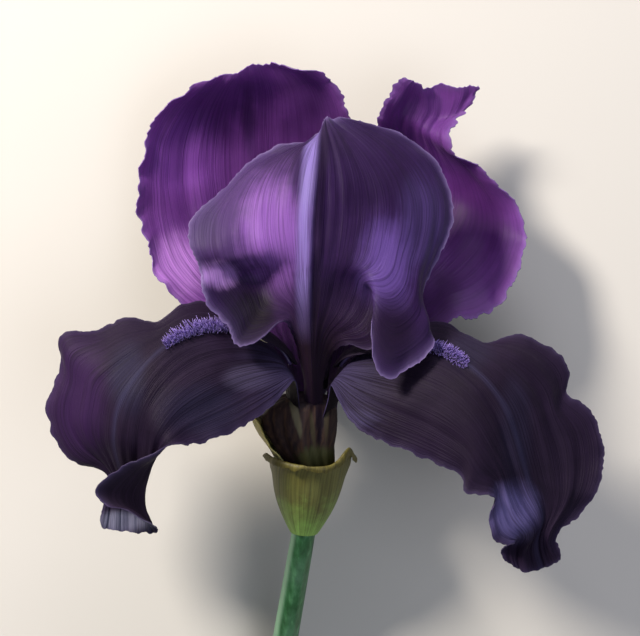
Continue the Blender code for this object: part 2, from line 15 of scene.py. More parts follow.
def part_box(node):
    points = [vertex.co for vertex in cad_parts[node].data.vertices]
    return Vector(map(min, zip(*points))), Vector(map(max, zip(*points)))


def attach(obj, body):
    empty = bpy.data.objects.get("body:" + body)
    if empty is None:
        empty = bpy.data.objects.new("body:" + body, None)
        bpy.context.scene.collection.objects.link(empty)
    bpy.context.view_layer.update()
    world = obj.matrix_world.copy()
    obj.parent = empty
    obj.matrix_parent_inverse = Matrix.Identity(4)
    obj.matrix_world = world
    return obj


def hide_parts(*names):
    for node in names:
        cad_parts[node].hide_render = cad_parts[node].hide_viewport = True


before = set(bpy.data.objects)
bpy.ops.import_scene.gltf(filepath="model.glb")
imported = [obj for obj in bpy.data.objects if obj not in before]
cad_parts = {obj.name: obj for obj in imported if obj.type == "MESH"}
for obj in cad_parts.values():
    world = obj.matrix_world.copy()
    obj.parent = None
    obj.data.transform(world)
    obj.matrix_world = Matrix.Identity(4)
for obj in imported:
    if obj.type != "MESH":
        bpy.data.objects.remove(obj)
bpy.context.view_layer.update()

# Stem. A solid, fleshy, round stalk cut straight across with a knife. Its green skin carries a pale wax
# bloom that rubs off in streaks, and the cut end shows paler pith.
MM = 0.001
BODY = "root"
FRONT_STANDARD_CLAW = (34.30, 2.12, -1.69)
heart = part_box("front_standard")[0] + Vector(FRONT_STANDARD_CLAW) * MM

STEM_CUT = Vector((-12.9, -97.0, -34.5))
RECEPTACLE = Vector((-3.3, -40.0, -9.5))
STEM_BOW = 0.5
STEM_RADII = (3.75, 3.3)
STEM_SIDES = 48
STEM_STEPS = 40
STEM_RIBS = 11
STEM_RIB_SHARE = 0.012
STEM_LUMPS = 90
END_INSET = 0.12
stem_way = (RECEPTACLE - STEM_CUT).normalized()


def linear(code):
    """An sRGB hex colour as linear red, green, blue and full alpha."""
    parts = [int(code[i:i + 2], 16) / 255 for i in (1, 3, 5)]
    return (*[v / 12.92 if v <= 0.04045 else ((v + 0.055) / 1.055) ** 2.4 for v in parts], 1.0)


def feed(tree, node, links):
    """Link what feeds a node's sockets. A bare node gives its first output."""
    for key, source in links.items():
        tree.links.new(getattr(source, "outputs", [source])[0], node.inputs[key])


def add(tree, kind, settings=None, links=None):
    """Add a shader node, give it its settings, with colours as hex codes, and link its sockets."""
    made = tree.nodes.new("ShaderNode" + kind)
    for key, value in (settings or {}).items():
        if key == "stops":
            ramp = made.color_ramp
            while len(ramp.elements) < len(value):
                ramp.elements.new(1.0)
            for element, (place, colour) in zip(ramp.elements, value):
                element.position = place
                element.color = linear(colour) if isinstance(colour, str) else colour
        elif isinstance(key, str) and hasattr(made, key):
            setattr(made, key, value)
        else:
            made.inputs[key].default_value = linear(value) if isinstance(value, str) else value
    feed(tree, made, links or {})
    return made


def new_skin(name, **constants):
    """A material with an empty Principled shader, its even values set on the shader's own sockets."""
    skin = bpy.data.materials.new(name)
    skin.use_nodes = True
    shader = skin.node_tree.nodes["Principled BSDF"]
    for key, value in constants.items():
        shader.inputs[key.replace("_", " ")].default_value = value
    return skin, skin.node_tree, shader


def deselect():
    """Deselect every object."""
    bpy.ops.object.select_all(action="DESELECT")


def apply_all(piece):
    """Apply every modifier of a piece in order."""
    bpy.context.view_layer.objects.active = piece
    for modifier in list(piece.modifiers):
        bpy.ops.object.modifier_apply(modifier=modifier.name)


def settle(piece, name, slot, *nodes):
    """Name a finished piece, ride it on the flower's body, and hide the parts from the frame that it
    replaces.
    """
    piece.name = name
    piece.data.name = name
    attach(piece, BODY)
    if nodes:
        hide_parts(*nodes)
    piece.select_set(False)


def at(point):
    """A point in millimetres from the heart, in metres in the part's frame."""
    return heart + Vector(point) * MM


def stalk(rings, sides):
    """A round stalk: a filled circle stood across the first ring's way and extruded from ring to ring.

    Each ring is its centre, its radius and the way that the stalk runs there.
    """
    deselect()
    centre, radius, way = rings[0]
    bpy.ops.mesh.primitive_circle_add(vertices=sides, radius=radius * MM, fill_type="NGON",
                                      location=at(centre), rotation=way.to_track_quat("Z", "Y").to_euler())
    piece = bpy.context.object
    bpy.ops.object.transform_apply(location=True, rotation=True, scale=True)
    bpy.ops.object.mode_set(mode="EDIT")
    bpy.ops.mesh.inset(thickness=radius * END_INSET * MM)
    shape = bmesh.from_edit_mesh(piece.data)
    shape.faces.ensure_lookup_table()
    for face in shape.faces:
        face.select = False
    shape.select_flush_mode()
    for vertex in shape.verts:
        vertex.select = False
    outer = [edge for edge in shape.edges if len(edge.link_faces) == 1]
    for edge in outer:
        edge.select = True
    bmesh.update_edit_mesh(piece.data)
    for (before, wide, _), (after, narrow, _) in zip(rings, rings[1:]):
        step = (Vector(after) - Vector(before)) * MM
        bpy.ops.mesh.extrude_region_move(TRANSFORM_OT_translate={"value": step})
        bpy.ops.transform.resize(value=(narrow / wide,) * 3, center_override=at(after))
    bpy.ops.mesh.edge_face_add()
    bpy.ops.mesh.select_all(action="SELECT")
    bpy.ops.mesh.normals_make_consistent(inside=False)
    bpy.ops.object.mode_set(mode="OBJECT")
    return piece


stem_line = []
for step in range(STEM_STEPS + 1):
    share = step / STEM_STEPS
    point = STEM_CUT.lerp(RECEPTACLE, share) + Vector((0, 0, STEM_BOW * math.sin(math.pi * share)))
    stem_line.append((point, STEM_RADII[0] + (STEM_RADII[1] - STEM_RADII[0]) * share, stem_way))
stem = stalk(stem_line, STEM_SIDES)
for vertex in stem.data.vertices:
    off = vertex.co - at(STEM_CUT)
    spoke = off - stem_way * off.dot(stem_way)
    if spoke.length > 2 * MM:
        rib = math.cos(STEM_RIBS * math.atan2(spoke.z, spoke.x))
        vertex.co += spoke * STEM_RIB_SHARE * (rib + noise.noise(vertex.co * STEM_LUMPS))
        vertex.co.z = max(vertex.co.z, 0.0)
stem.data.shade_smooth()
stem.data.set_sharp_from_angle(angle=math.radians(45))

# Fleshy green skin under a wax bloom: a soft, half-matt, blue-green surface with fine fibre lines.
SOFT = {"interpolation_type": "SMOOTHSTEP"}
stem_skin, tree, shader = new_skin("Waxy green stem skin", Roughness=0.42, Specular_IOR_Level=0.45)
place = add(tree, "TexCoord").outputs["Object"]
along_stem = add(tree, "Mapping", {"Scale": (700.0, 22.0, 700.0), "Rotation": (0.41, 0.0, -0.167)},
                 {"Vector": place})
fibres = add(tree, "TexNoise", {"Scale": 1.0, "Detail": 3.0}, {"Vector": along_stem})
bloom = add(tree, "TexNoise", {"Scale": 130.0, "Detail": 5.0, "Roughness": 0.62}, {"Vector": place})
green = add(tree, "ValToRGB", {"stops": [(0.30, "#1c4a22"), (0.52, "#2c6034"), (0.72, "#4c8254")]},
            {"Fac": fibres})
dust = add(tree, "MapRange", {"From Min": 0.46, "From Max": 0.76, "To Max": 0.22}, {"Value": bloom})
dusty = add(tree, "Mix", {"data_type": "RGBA", 7: "#8fbb9d"}, {0: dust, 6: green})
from_cut = add(tree, "VectorMath", {"operation": "SUBTRACT", 1: at(STEM_CUT)}, {0: place})
sideways = add(tree, "VectorMath",
               {"operation": "DOT_PRODUCT", 1: stem_way.cross(Vector((0, 0, 1))).normalized()},
               {0: from_cut})
# The left side is painted paler: partly wax bloom, partly a painted highlight on the side that faces the
# key lamp.
wax_and_lit_side = add(tree, "MapRange", {"From Min": -1.5 * MM, "From Max": -3.0 * MM, "To Max": 0.6, **SOFT},
                {"Value": sideways.outputs["Value"]})
coat_and_lit_side = add(tree, "Mix", {"data_type": "RGBA", 7: "#9cc9a6"}, {0: wax_and_lit_side, 6: dusty.outputs[2]})
relief = add(tree, "Bump", {"Strength": 0.5, "Distance": 0.0002}, {"Height": fibres})
feed(tree, shader, {"Base Color": coat_and_lit_side.outputs[2], "Normal": relief})

# Cut flesh: wet, pale green pith with darker strands.
pith_skin, tree, shader = new_skin("Cut pale green pith", Roughness=0.35)
place = add(tree, "TexCoord").outputs["Object"]
strands = add(tree, "TexVoronoi", {"Scale": 1300.0}, {"Vector": place})
flesh = add(tree, "ValToRGB", {"stops": [(0.10, "#6f9a4c"), (0.35, "#c2d39a"), (0.8, "#d5dfb4")]},
            {"Fac": strands})
feed(tree, shader, {"Base Color": flesh})

stem.data.materials.append(stem_skin)
stem.data.materials.append(pith_skin)
for face in stem.data.polygons:
    if face.normal.dot(stem_way) < -0.9:
        face.material_index = 1
settle(stem, "green_stem", "stem", "stem")

# Ovary. The three-sided green seed box at the flower's base, hidden inside the bracts. The solid from
# the frame already has its shape, so it keeps its mesh and takes a mottled, fleshy skin.
def speckled_skin(name, dark, light, scale, detail, rough, relief=0.0):
    """A skin of fine specks between two colours, raised where it has a relief."""
    skin, tree, shader = new_skin(name, Roughness=rough)
    place = add(tree, "TexCoord").outputs["Object"]
    specks = add(tree, "TexNoise", {"Scale": scale, "Detail": detail}, {"Vector": place})
    shade = add(tree, "ValToRGB", {"stops": [(0.35, dark), (0.65, light)]}, {"Fac": specks})
    feed(tree, shader, {"Base Color": shade})
    if relief:
        raised = add(tree, "Bump", {"Strength": relief, "Distance": 0.2 * MM}, {"Height": specks})
        feed(tree, shader, {"Normal": raised})
    return skin


ovary_skin = speckled_skin("Fleshy green ovary skin", "#3f7438", "#6c9a4a", 260.0, 4.0, 0.4, relief=0.3)
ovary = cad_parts["ovary"]
ovary.data.materials.clear()
ovary.data.materials.append(ovary_skin)

# Petals and bracts. Each is a thin living sheet. A coarse grid is shaped row by row as the petal is
# creased, smoothed, then fluttered and nicked along its free edges, and last given its thickness.
PETAL_LEVELS = 4
STILL_ROOT = (6.0, 30.0)
MARGIN_FADE = 4.0
EDGE_TAPER = 12.0
surfaces = {}


def smoothstep(low, high, value):
    """0 below low, 1 above high, and a smooth rise between them."""
    share = np.clip((value - low) / (high - low), 0.0, 1.0)
    return share * share * (3 - 2 * share)


def running_length(points, axis):
    """The length walked along an axis of a lattice of points, starting from 0."""
    steps = np.linalg.norm(np.diff(points, axis=axis), axis=2)
    start = np.zeros_like(np.take(steps, [0], axis=axis))
    return np.concatenate([start, np.cumsum(steps, axis=axis)], axis=axis)


def uneven_wave(length, wavelength, seed):
    """A wave of uneven height and spacing along a margin, about -1 to 1."""
    return np.array([2.0 * noise.noise(Vector((s / wavelength, seed * 7.31, 0.5))) for s in length])


def lattice_normals(points):
    """Unit normals of a lattice of points."""
    across = np.gradient(points, axis=1)
    along = np.gradient(points, axis=0)
    normal = np.cross(across, along)
    return normal / (np.linalg.norm(normal, axis=2, keepdims=True) + 1e-9)


def flutter(points, waves, nicks, swells, pleats, seed):
    """Wave and nick the free margins of a lattice of points, and pleat and swell its surface."""
    seen = points.copy()
    left = running_length(points, 1)
    right = left[:, -1:] - left
    base = running_length(points, 0)
    tip = base[-1:, :] - base
    free = smoothstep(*STILL_ROOT, base)
    sides = ((left, base[:, :1], 1), (right, base[:, -1:], 2), (tip, left[-1:, :], 3))
    normal = lattice_normals(points)
    rise = np.zeros(points.shape[:2])
    for distance, walk, side in sides:
        for order, (wavelength, height, reach) in enumerate(waves):
            wave = uneven_wave(walk.ravel(), wavelength, seed + side + 10 * order).reshape(walk.shape)
            rise += height * wave * np.exp(-(distance / reach) ** 2)
    for size, height in swells:
        flat = points.reshape(-1, 3) / size
        roll = np.array([noise.noise(Vector(p) + Vector((seed, 0, 0))) for p in flat])
        rise += height * roll.reshape(rise.shape)
    fans, fan_height = pleats
    for line in range(points.shape[0]):
        far = line / (points.shape[0] - 1)
        for column in range(points.shape[1]):
            turn = column / (points.shape[1] - 1)
            fold = noise.noise(Vector((turn * fans, far * 1.7, seed + 0.3)))
            fold += 0.45 * noise.noise(Vector((turn * fans * 2.3, far * 3.0, seed + 0.7)))
            rise[line, column] += fan_height * fold * min(1.0, far * 1.6)
    seen += normal * (rise * free)[..., None]
    across = np.gradient(points, axis=1)
    across /= np.linalg.norm(across, axis=2, keepdims=True) + 1e-9
    along = np.gradient(points, axis=0)
    along /= np.linalg.norm(along, axis=2, keepdims=True) + 1e-9
    depth, spacing, reach = nicks
    for (distance, walk, side), outward in zip(sides, (-across, across, along)):
        nick = uneven_wave(walk.ravel(), spacing, seed + 40 + side).reshape(walk.shape)
        nick += 0.6 * uneven_wave(walk.ravel(), spacing * 0.4, seed + 50 + side).reshape(walk.shape)
        seen += outward * (depth * nick * np.exp(-(distance / reach) ** 2) * free)[..., None]
    return seen, np.minimum(np.minimum(left, right), tip)


def petal(name, rows, skins, rib=0.5, thickness=0.5, thin=0.3, waves=(), nicks=(0.0, 3.0, 1.5),
          swells=(), pleats=(8, 0.0), crease=0.0, seed=1, face_below=False, levels=PETAL_LEVELS):
    """A petal or bract from its rows of points across it, each from one margin to the other."""
    across = len(rows[0])
    deselect()
    bpy.ops.mesh.primitive_grid_add(x_subdivisions=across - 1, y_subdivisions=len(rows) - 1, size=1.0)
    piece = bpy.context.object
    for vertex, point in zip(piece.data.vertices, [p for row in rows for p in row], strict=True):
        vertex.co = Vector(point)
    keel = round(rib * (across - 1))
    sharp = piece.data.attributes.new("crease_edge", "FLOAT", "EDGE")
    for edge in piece.data.edges:
        if all(index % across == keel for index in edge.vertices):
            sharp.data[edge.index].value = crease
    finer = piece.modifiers.new("finer", "SUBSURF")
    finer.levels = levels
    finer.render_levels = levels
    apply_all(piece)

    mesh = piece.data
    count = len(mesh.vertices)
    spots = np.empty(count * 3)
    mesh.vertices.foreach_get("co", spots)
    spots = spots.reshape(-1, 3)
    corner = np.empty(len(mesh.loops), dtype=int)
    mesh.loops.foreach_get("vertex_index", corner)
    flat = np.empty(len(mesh.loops) * 2)
    mesh.uv_layers[0].data.foreach_get("uv", flat)
    spread = np.empty((count, 2))
    spread[corner] = flat.reshape(-1, 2)
    wide, long = (across - 1) * 2 ** levels, (len(rows) - 1) * 2 ** levels
    column = np.rint(spread[:, 0] * wide).astype(int)
    line = np.rint(spread[:, 1] * long).astype(int)
    order = np.empty((long + 1, wide + 1), dtype=int)
    order[line, column] = np.arange(count)

    lattice, edge = flutter(spots[order], waves, nicks, swells, pleats, seed)
    surfaces[name] = (lattice, lattice_normals(lattice) * (-1 if face_below else 1), len(rows) - 1)
    flat_edge = np.empty(count)
    flat_edge[order.ravel()] = edge.ravel()
    walked = running_length(lattice, 1)
    middle = walked[:, [round(rib * wide)]]
    flat_rib = np.empty(count)
    flat_rib[order.ravel()] = (walked - middle).ravel()
    spots[order.ravel()] = lattice.reshape(-1, 3)
    mesh.vertices.foreach_set("co", (spots * MM + np.array(heart)).ravel())

    for label, values in (("margin", np.exp(-flat_edge / MARGIN_FADE)), ("rib_mm", flat_rib)):
        mesh.attributes.new(label, "FLOAT", "POINT").data.foreach_set("value", values)
    body = piece.vertex_groups.new(name="body")
    for index in range(count):
        body.add([index], float(min(1.0, thin + flat_edge[index] / EDGE_TAPER)), "REPLACE")
    if face_below:
        mesh.flip_normals()
    for skin in skins:
        mesh.materials.append(skin)
    wall = piece.modifiers.new("wall", "SOLIDIFY")
    wall.thickness = thickness * MM
    wall.offset = 0.0
    wall.vertex_group = "body"
    wall.thickness_vertex_group = thin
    wall.use_quality_normals = True
    wall.material_offset = 1
    apply_all(piece)
    piece.vertex_groups.clear()
    piece.data.shade_smooth()
    piece.data.set_sharp_from_angle(angle=math.radians(60))
    return piece


BLADE_SHADES = (0.62, 1.55)
GLOW_DEPTH = (1.8 * MM, 0.8 * MM, 2.2 * MM)
PETAL_PATCH_SPREAD = (1.8, 0.95)


def lay_stains_and_painted_light(tree, place, ground, grain, spread, stains_and_lights):
    """Lay ragged patches over a ground colour, each soft at its rim and broken up by a grain.

    A patch is a stain, a stripe or painted light or shade. It is its colour, its middle and half-sizes in
    millimetres, its strength, and how many degrees it leans, if it does. The spread is how far out from
    its middle it starts and is full.
    """
    for colour, middle, half, strength, *lean in stains_and_lights:
        local = add(tree, "Mapping",
                    {"vector_type": "TEXTURE", "Location": at((*middle, 0)),
                     "Rotation": (0, 0, math.radians(sum(lean))),
                     "Scale": (half[0] * MM, half[1] * MM, 1000.0)},
                    {"Vector": place})
        away = add(tree, "VectorMath", {"operation": "LENGTH"}, {0: local})
        ragged = add(tree, "Math", {"operation": "MULTIPLY_ADD", 1: 0.8},
                     {0: grain, 2: away.outputs["Value"]})
        stain_or_light = add(tree, "MapRange",
                    {"From Min": spread[0], "From Max": spread[1], "To Max": strength, **SOFT},
                    {"Value": ragged})
        ground = add(tree, "Mix", {"data_type": "RGBA", 7: colour}, {0: stain_or_light, 6: ground.outputs[2]})
    return ground


def petal_skin(name, blade, vein, claw, edge, claw_end=(0.12, 0.4), streaks=44.0, vein_depth=0.5,
               claw_veins=0.8, bands=(), patches=(), rough=0.5, gloss=0.2, sheen=0.1, sheen_tint="#b9a4e6",
               mottle=0.4, relief_mm=0.07, margin_share=0.4, rim_highlight="#6f6090", rim_highlight_share=0.5, through=0.0):
    """Petal skin: rows of swollen cells over fanned, forking veins.

    The veins run from the claw to the margins, so their pattern follows the petal's own map, which is
    0 to 1 across it and 0 to 1 along it. A band is a stripe beside the midrib, and a patch is a tint
    round a place, both in millimetres. Many bands and patches are painted light, sheen or shade, and the
    rim highlight is a painted highlight along the free edges.
    """
    skin, tree, shader = new_skin(name, Roughness=rough, Sheen_Weight=sheen, Sheen_Roughness=0.4,
                                  Sheen_Tint=linear(sheen_tint), Specular_IOR_Level=gloss,
                                  Subsurface_Weight=through, Subsurface_Radius=GLOW_DEPTH,
                                  Subsurface_Scale=1.0)
    spread = add(tree, "UVMap", {"uv_map": "UVMap"})
    place = add(tree, "TexCoord").outputs["Object"]
    apart = add(tree, "SeparateXYZ", {}, {"Vector": spread})
    margin = add(tree, "Attribute", {"attribute_name": "margin"}).outputs["Fac"]
    from_rib = add(tree, "Attribute", {"attribute_name": "rib_mm"}).outputs["Fac"]

    main = add(tree, "Mapping", {"Scale": (streaks, 2.2, 1.0)}, {"Vector": spread})
    veins = add(tree, "TexNoise", {"Scale": 1.0, "Detail": 1.0, "Roughness": 0.5, "Distortion": 0.2},
                {"Vector": main})
    off_vein = add(tree, "Math", {"operation": "SUBTRACT", 1: 0.5}, {0: veins})
    from_vein = add(tree, "Math", {"operation": "ABSOLUTE"}, {0: off_vein})
    line = add(tree, "MapRange", {"From Min": 0.07, "From Max": 0.0}, {"Value": from_vein})
    branch = add(tree, "Mapping", {"Scale": (streaks * 3.1, 5.0, 1.0), "Rotation": (0, 0, 0.02)},
                 {"Vector": spread})
    twigs = add(tree, "TexNoise", {"Scale": 1.0, "Detail": 3.0, "Roughness": 0.6, "Distortion": 0.5},
                {"Vector": branch})
    thread = add(tree, "MapRange", {"From Min": 0.4, "From Max": 0.68}, {"Value": twigs})
    web = add(tree, "Math", {"operation": "MULTIPLY_ADD", 1: 0.6}, {0: thread, 2: line})
    cloud = add(tree, "TexNoise", {"Scale": 75.0, "Detail": 4.0, "Roughness": 0.6}, {"Vector": place})

    dark_blade, light_blade = [(*(min(1.0, v * share) for v in linear(blade)[:3]), 1.0)
                               for share in BLADE_SHADES]
    ground = add(tree, "ValToRGB", {"stops": [(0.30, dark_blade), (0.5, blade), (0.72, light_blade)]},
                 {"Fac": cloud})
    whole = add(tree, "Mix", {"data_type": "RGBA", 0: mottle, 6: blade}, {7: ground})
    streaky = add(tree, "Math", {"operation": "MULTIPLY_ADD", 1: 0.55}, {0: twigs, 2: cloud})
    whole = lay_stains_and_painted_light(tree, place, whole, streaky, PETAL_PATCH_SPREAD, patches)
    amount = add(tree, "Math", {"operation": "MULTIPLY", 1: vein_depth, "use_clamp": True}, {0: web})
    whole = add(tree, "Mix", {"data_type": "RGBA", 7: vein}, {0: amount, 6: whole.outputs[2]})
    for colour, left_mm, right_mm, soft_mm, strength in bands:
        rising, falling = [
            add(tree, "MapRange", {"From Min": side - soft, "From Max": side + soft, **SOFT},
                {"Value": from_rib}) for side, soft in ((left_mm, soft_mm), (right_mm, -soft_mm))]
        both = add(tree, "Math", {"operation": "MULTIPLY"}, {0: rising, 1: falling})
        fine = add(tree, "Math", {"operation": "MULTIPLY_ADD", 1: -0.4 * strength, 2: strength}, {0: web})
        share = add(tree, "Math", {"operation": "MULTIPLY", "use_clamp": True}, {0: both, 1: fine})
        whole = add(tree, "Mix", {"data_type": "RGBA", 7: colour}, {0: share, 6: whole.outputs[2]})
    # The edge colour tints the margins; the narrow rim strip over it is a painted highlight along the free
    # edges.
    for colour, narrow, strength in ((edge, 1.0, margin_share), (rim_highlight, 6.0, rim_highlight_share)):
        strip = add(tree, "Math", {"operation": "POWER", 1: narrow}, {0: margin})
        share = add(tree, "Math", {"operation": "MULTIPLY", 1: strength}, {0: strip})
        whole = add(tree, "Mix", {"data_type": "RGBA", 7: colour}, {0: share, 6: whole.outputs[2]})
    in_claw = add(tree, "MapRange",
                  {"From Min": claw_end[0], "From Max": claw_end[1], "To Min": 1.0, "To Max": 0.0},
                  {"Value": apart.outputs["Y"]})
    dark_line = add(tree, "Math", {"operation": "MULTIPLY", 1: claw_veins, "use_clamp": True}, {0: web})
    claw_ground = add(tree, "Mix", {"data_type": "RGBA", 6: claw, 7: vein}, {0: dark_line})
    whole = add(tree, "Mix", {"data_type": "RGBA"},
                {0: in_claw, 6: whole.outputs[2], 7: claw_ground.outputs[2]})
    cells = add(tree, "TexNoise", {"Scale": 2600.0, "Detail": 2.0}, {"Vector": place})
    height = add(tree, "Math", {"operation": "MULTIPLY_ADD", 1: 0.5}, {0: cells, 2: web})
    relief = add(tree, "Bump", {"Strength": 0.6, "Distance": relief_mm * MM}, {"Height": height})
    feed(tree, shader, {"Base Color": whole.outputs[2], "Normal": relief})
    return skin


# Bracts. Two papery leaves sheathe the flower's base. Their lower parts are green and ribbed, and their
# tops have dried to thin olive skin with an uneven rim. Each is wrapped round the flower's axis.
TUBE_TOP = Vector((-0.6, -3.0, 0.0))
OUTER_BRACT = [
    (1.2, 3.4, 74, 232), (3.5, 4.4, 74, 232), (8.0, 6.2, 76, 232), (13.0, 7.7, 80, 230),
    (17.0, 8.3, 86, 227),
    (20.0, 9.1, 94, 224), (23.5, 11.2, 106, 221), (27.0, 14.2, 122, 217), (30.0, 16.7, 142, 210),
    (32.0, 18.0, 156, 202),
]
FRONT_BRACT = [
    (-0.9, 3.75, -196, 16), (0.2, 4.4, -196, 16), (3.0, 5.9, -196, 16), (7.0, 7.8, -194, 14),
    (11.5, 9.2, -192, 12),
    (15.5, 9.8, -189, 10), (18.0, 10.3, -186, 8), (20.0, 10.9, -178, 4), (21.4, 11.4, -171, 0),
    (21.8, 12.0, -168, -2), (21.0, 12.4, -167, -3), (20.1, 12.2, -167, -3),
]
BRACT_EAR = (-30.0, 15.0, 4.2)
BRACT_COLUMNS = 13
BRACT_EASE = 1.03
STIFF_SHEET = {"thickness": 0.45, "levels": 3}

axis_way = (TUBE_TOP - RECEPTACLE).normalized()
axis_right = (Vector((1, 0, 0)) - axis_way * axis_way.x).normalized()
axis_back = axis_way.cross(axis_right)


def round_axis(height, radius, degrees):
    """A point round the flower's axis, in millimetres from the heart. The front is at -90 degrees."""
    angle = math.radians(degrees)
    return (RECEPTACLE + axis_way * height + axis_right * (radius * math.cos(angle))
            + axis_back * (radius * math.sin(angle)))


def wrapped(stations, ear_at=0.0, ear_width=1.0, ear_rise=0.0):
    """A bract's rows of points, each an arc round the flower's axis. Its top may rise in an ear."""
    rows = []
    for height, radius, start, end in stations:
        row = []
        for column in range(BRACT_COLUMNS):
            angle = start + (end - start) * column / (BRACT_COLUMNS - 1)
            ear = math.exp(-((angle - ear_at) / ear_width) ** 2) * (height / stations[-1][0]) ** 3
            row.append(round_axis(height + ear_rise * ear, radius * BRACT_EASE, angle))
        rows.append(row)
    return rows


# Bract skin: parallel ribs about a millimetre apart run up it, green below and dry olive or buff above.
def bract_skin(name, low, middle, top, turn):
    """Papery bract skin with parallel ribs, from green at its foot to dry at its top."""
    skin, tree, shader = new_skin(name, Roughness=0.55, Specular_IOR_Level=0.4)
    spread = add(tree, "UVMap", {"uv_map": "UVMap"})
    place = add(tree, "TexCoord").outputs["Object"]
    apart = add(tree, "SeparateXYZ", {}, {"Vector": spread})
    lines = add(tree, "Mapping", {"Scale": (52.0, 1.8, 1.0)}, {"Vector": spread})
    ribs = add(tree, "TexNoise", {"Scale": 1.0, "Detail": 3.0, "Distortion": 0.15}, {"Vector": lines})
    blotch = add(tree, "TexNoise", {"Scale": 210.0, "Detail": 5.0, "Roughness": 0.65}, {"Vector": place})
    shifted = add(tree, "Math", {"operation": "MULTIPLY_ADD", 1: 0.5}, {0: blotch, 2: apart.outputs["Y"]})
    grade = add(tree, "ValToRGB", {"stops": [(0.28, low), (turn, middle), (turn + 0.35, top)]},
                {"Fac": shifted})
    dark = add(tree, "MapRange", {"From Min": 0.42, "From Max": 0.62, "To Max": 0.55}, {"Value": ribs})
    shaded = add(tree, "Mix", {"data_type": "RGBA", "blend_type": "MULTIPLY", 7: "#8a8466"},
                 {0: dark, 6: grade})
    relief = add(tree, "Bump", {"Strength": 0.7, "Distance": 0.0003}, {"Height": ribs})
    feed(tree, shader, {"Base Color": shaded.outputs[2], "Normal": relief})
    return skin


outer_skin = bract_skin("Dry papery outer bract", "#8fae66", "#b3ba88", "#a5994f", 0.62)
front_skin = bract_skin("Green and olive front bract", "#88b252", "#62632f", "#5a531e", 0.62)
outer = petal("outer_bract", wrapped(OUTER_BRACT), [outer_skin, outer_skin], **STIFF_SHEET,
              waves=((11, 0.9, 4), (4, 0.4, 2)), nicks=(0.4, 3.0, 1.5), swells=((14, 0.5),), seed=3)
settle(outer, "papery_outer_bract", "bract", "outer_bract")
front = petal("front_bract", wrapped(FRONT_BRACT, *BRACT_EAR), [front_skin, front_skin], **STIFF_SHEET,
              waves=((8, 0.5, 2.5), (3, 0.3, 1.5)), nicks=(0.5, 2.4, 1.5), swells=((12, 0.3),), seed=5)
settle(front, "papery_front_bract", "bract", "front_bract")

# Perianth tube. The six petals join into one ribbed, fleshy neck above the ovary, which bulges to the
# left. It is brown-purple, with a few olive stripes that run up it.
TUBE_STATIONS = [
    (13.0, 4.6, 4.6, 0.0), (15.5, 5.2, 5.2, 0.0), (20.0, 7.3, 6.6, 0.0), (25.0, 9.0, 7.4, 2.2),
    (29.0, 10.6, 7.9, 3.4), (32.5, 10.9, 8.0, 3.7), (35.5, 9.6, 7.4, 2.8), (37.4, 7.0, 6.0, 1.6),
    (38.6, 4.0, 3.6, 0.8),
]
TUBE_SIDES = 96
TUBE_RIBS = 6
TUBE_FLUTE = 0.05
TUBE_LINES = 17
TUBE_LINE_SHARE = 0.018


def tube_ring(station):
    """The points of one ring of the ribbed tube."""
    height, wide, deep, shift = station
    ring = []
    for side in range(TUBE_SIDES):
        angle = math.tau * side / TUBE_SIDES
        swell = (1 + TUBE_FLUTE * math.cos(TUBE_RIBS * (angle + math.pi / 2))
                 + TUBE_LINE_SHARE * math.cos(TUBE_LINES * angle))
        ring.append(RECEPTACLE + axis_way * height + axis_right * (wide * swell * math.cos(angle) - shift)
                    + axis_back * (deep * swell * math.sin(angle)))
    return ring


deselect()
bpy.ops.mesh.primitive_cylinder_add(vertices=TUBE_SIDES, radius=1.0, depth=1.0, end_fill_type="NGON")
tube = bpy.context.object
bpy.ops.object.mode_set(mode="EDIT")
shape = bmesh.from_edit_mesh(tube.data)
uprights = [edge for edge in shape.edges if abs(edge.verts[0].co.z - edge.verts[1].co.z) > 0.5]
bmesh.ops.subdivide_edges(shape, edges=uprights, cuts=len(TUBE_STATIONS) - 2, use_grid_fill=False)
levels = sorted({round(vertex.co.z, 4) for vertex in shape.verts})
for vertex in shape.verts:
    station = TUBE_STATIONS[levels.index(round(vertex.co.z, 4))]
    side = round(math.atan2(vertex.co.y, vertex.co.x) / math.tau * TUBE_SIDES) % TUBE_SIDES
    vertex.co = at(tube_ring(station)[side])
bmesh.update_edit_mesh(tube.data)
bpy.ops.object.mode_set(mode="OBJECT")
tube.data.shade_smooth()
tube.data.set_sharp_from_angle(angle=math.radians(55))

# Tube skin: smooth and half-matt, brown-purple, with olive and dark stripes laid on as patches. Its
# last patch, near black at the top where the petals' bases meet the tube, is painted shade.
TUBE_PATCH_SPREAD = (1.5, 0.9)
TUBE_STRIPES = (
    ("#3c4024", (0.5, -20.0), (7.0, 4.0), 0.7), ("#5c5946", (-5.6, -8.0), (1.2, 7.5), 0.75, 14),
    ("#3f3a26", (-0.9, -12.0), (0.8, 6.0), 0.6, 6), ("#3f3a26", (2.9, -10.5), (0.8, 6.0), 0.5, -2),
    ("#150b17", (0.8, -9.5), (1.2, 8.0), 0.9, 3), ("#150c12", (-1.0, -2.0), (7.5, 5.5), 1.0),
)
tube_skin, tree, shader = new_skin("Brown-purple tube with green stripes", Roughness=0.5,
                                   Specular_IOR_Level=0.12)
place = add(tree, "TexCoord").outputs["Object"]
upright = add(tree, "Mapping", {"Rotation": (0.25, 0.0, -0.07), "Scale": (900.0, 40.0, 900.0)},
              {"Vector": place})
stripes = add(tree, "TexNoise", {"Scale": 1.0, "Detail": 2.0, "Distortion": 0.2}, {"Vector": upright})
paint = add(tree, "ValToRGB", {"stops": [(0.34, "#20171a"), (0.52, "#2e2120"), (0.72, "#3d2d24")]},
            {"Fac": stripes})
whole = add(tree, "Mix", {"data_type": "RGBA", 0: 1.0}, {7: paint})
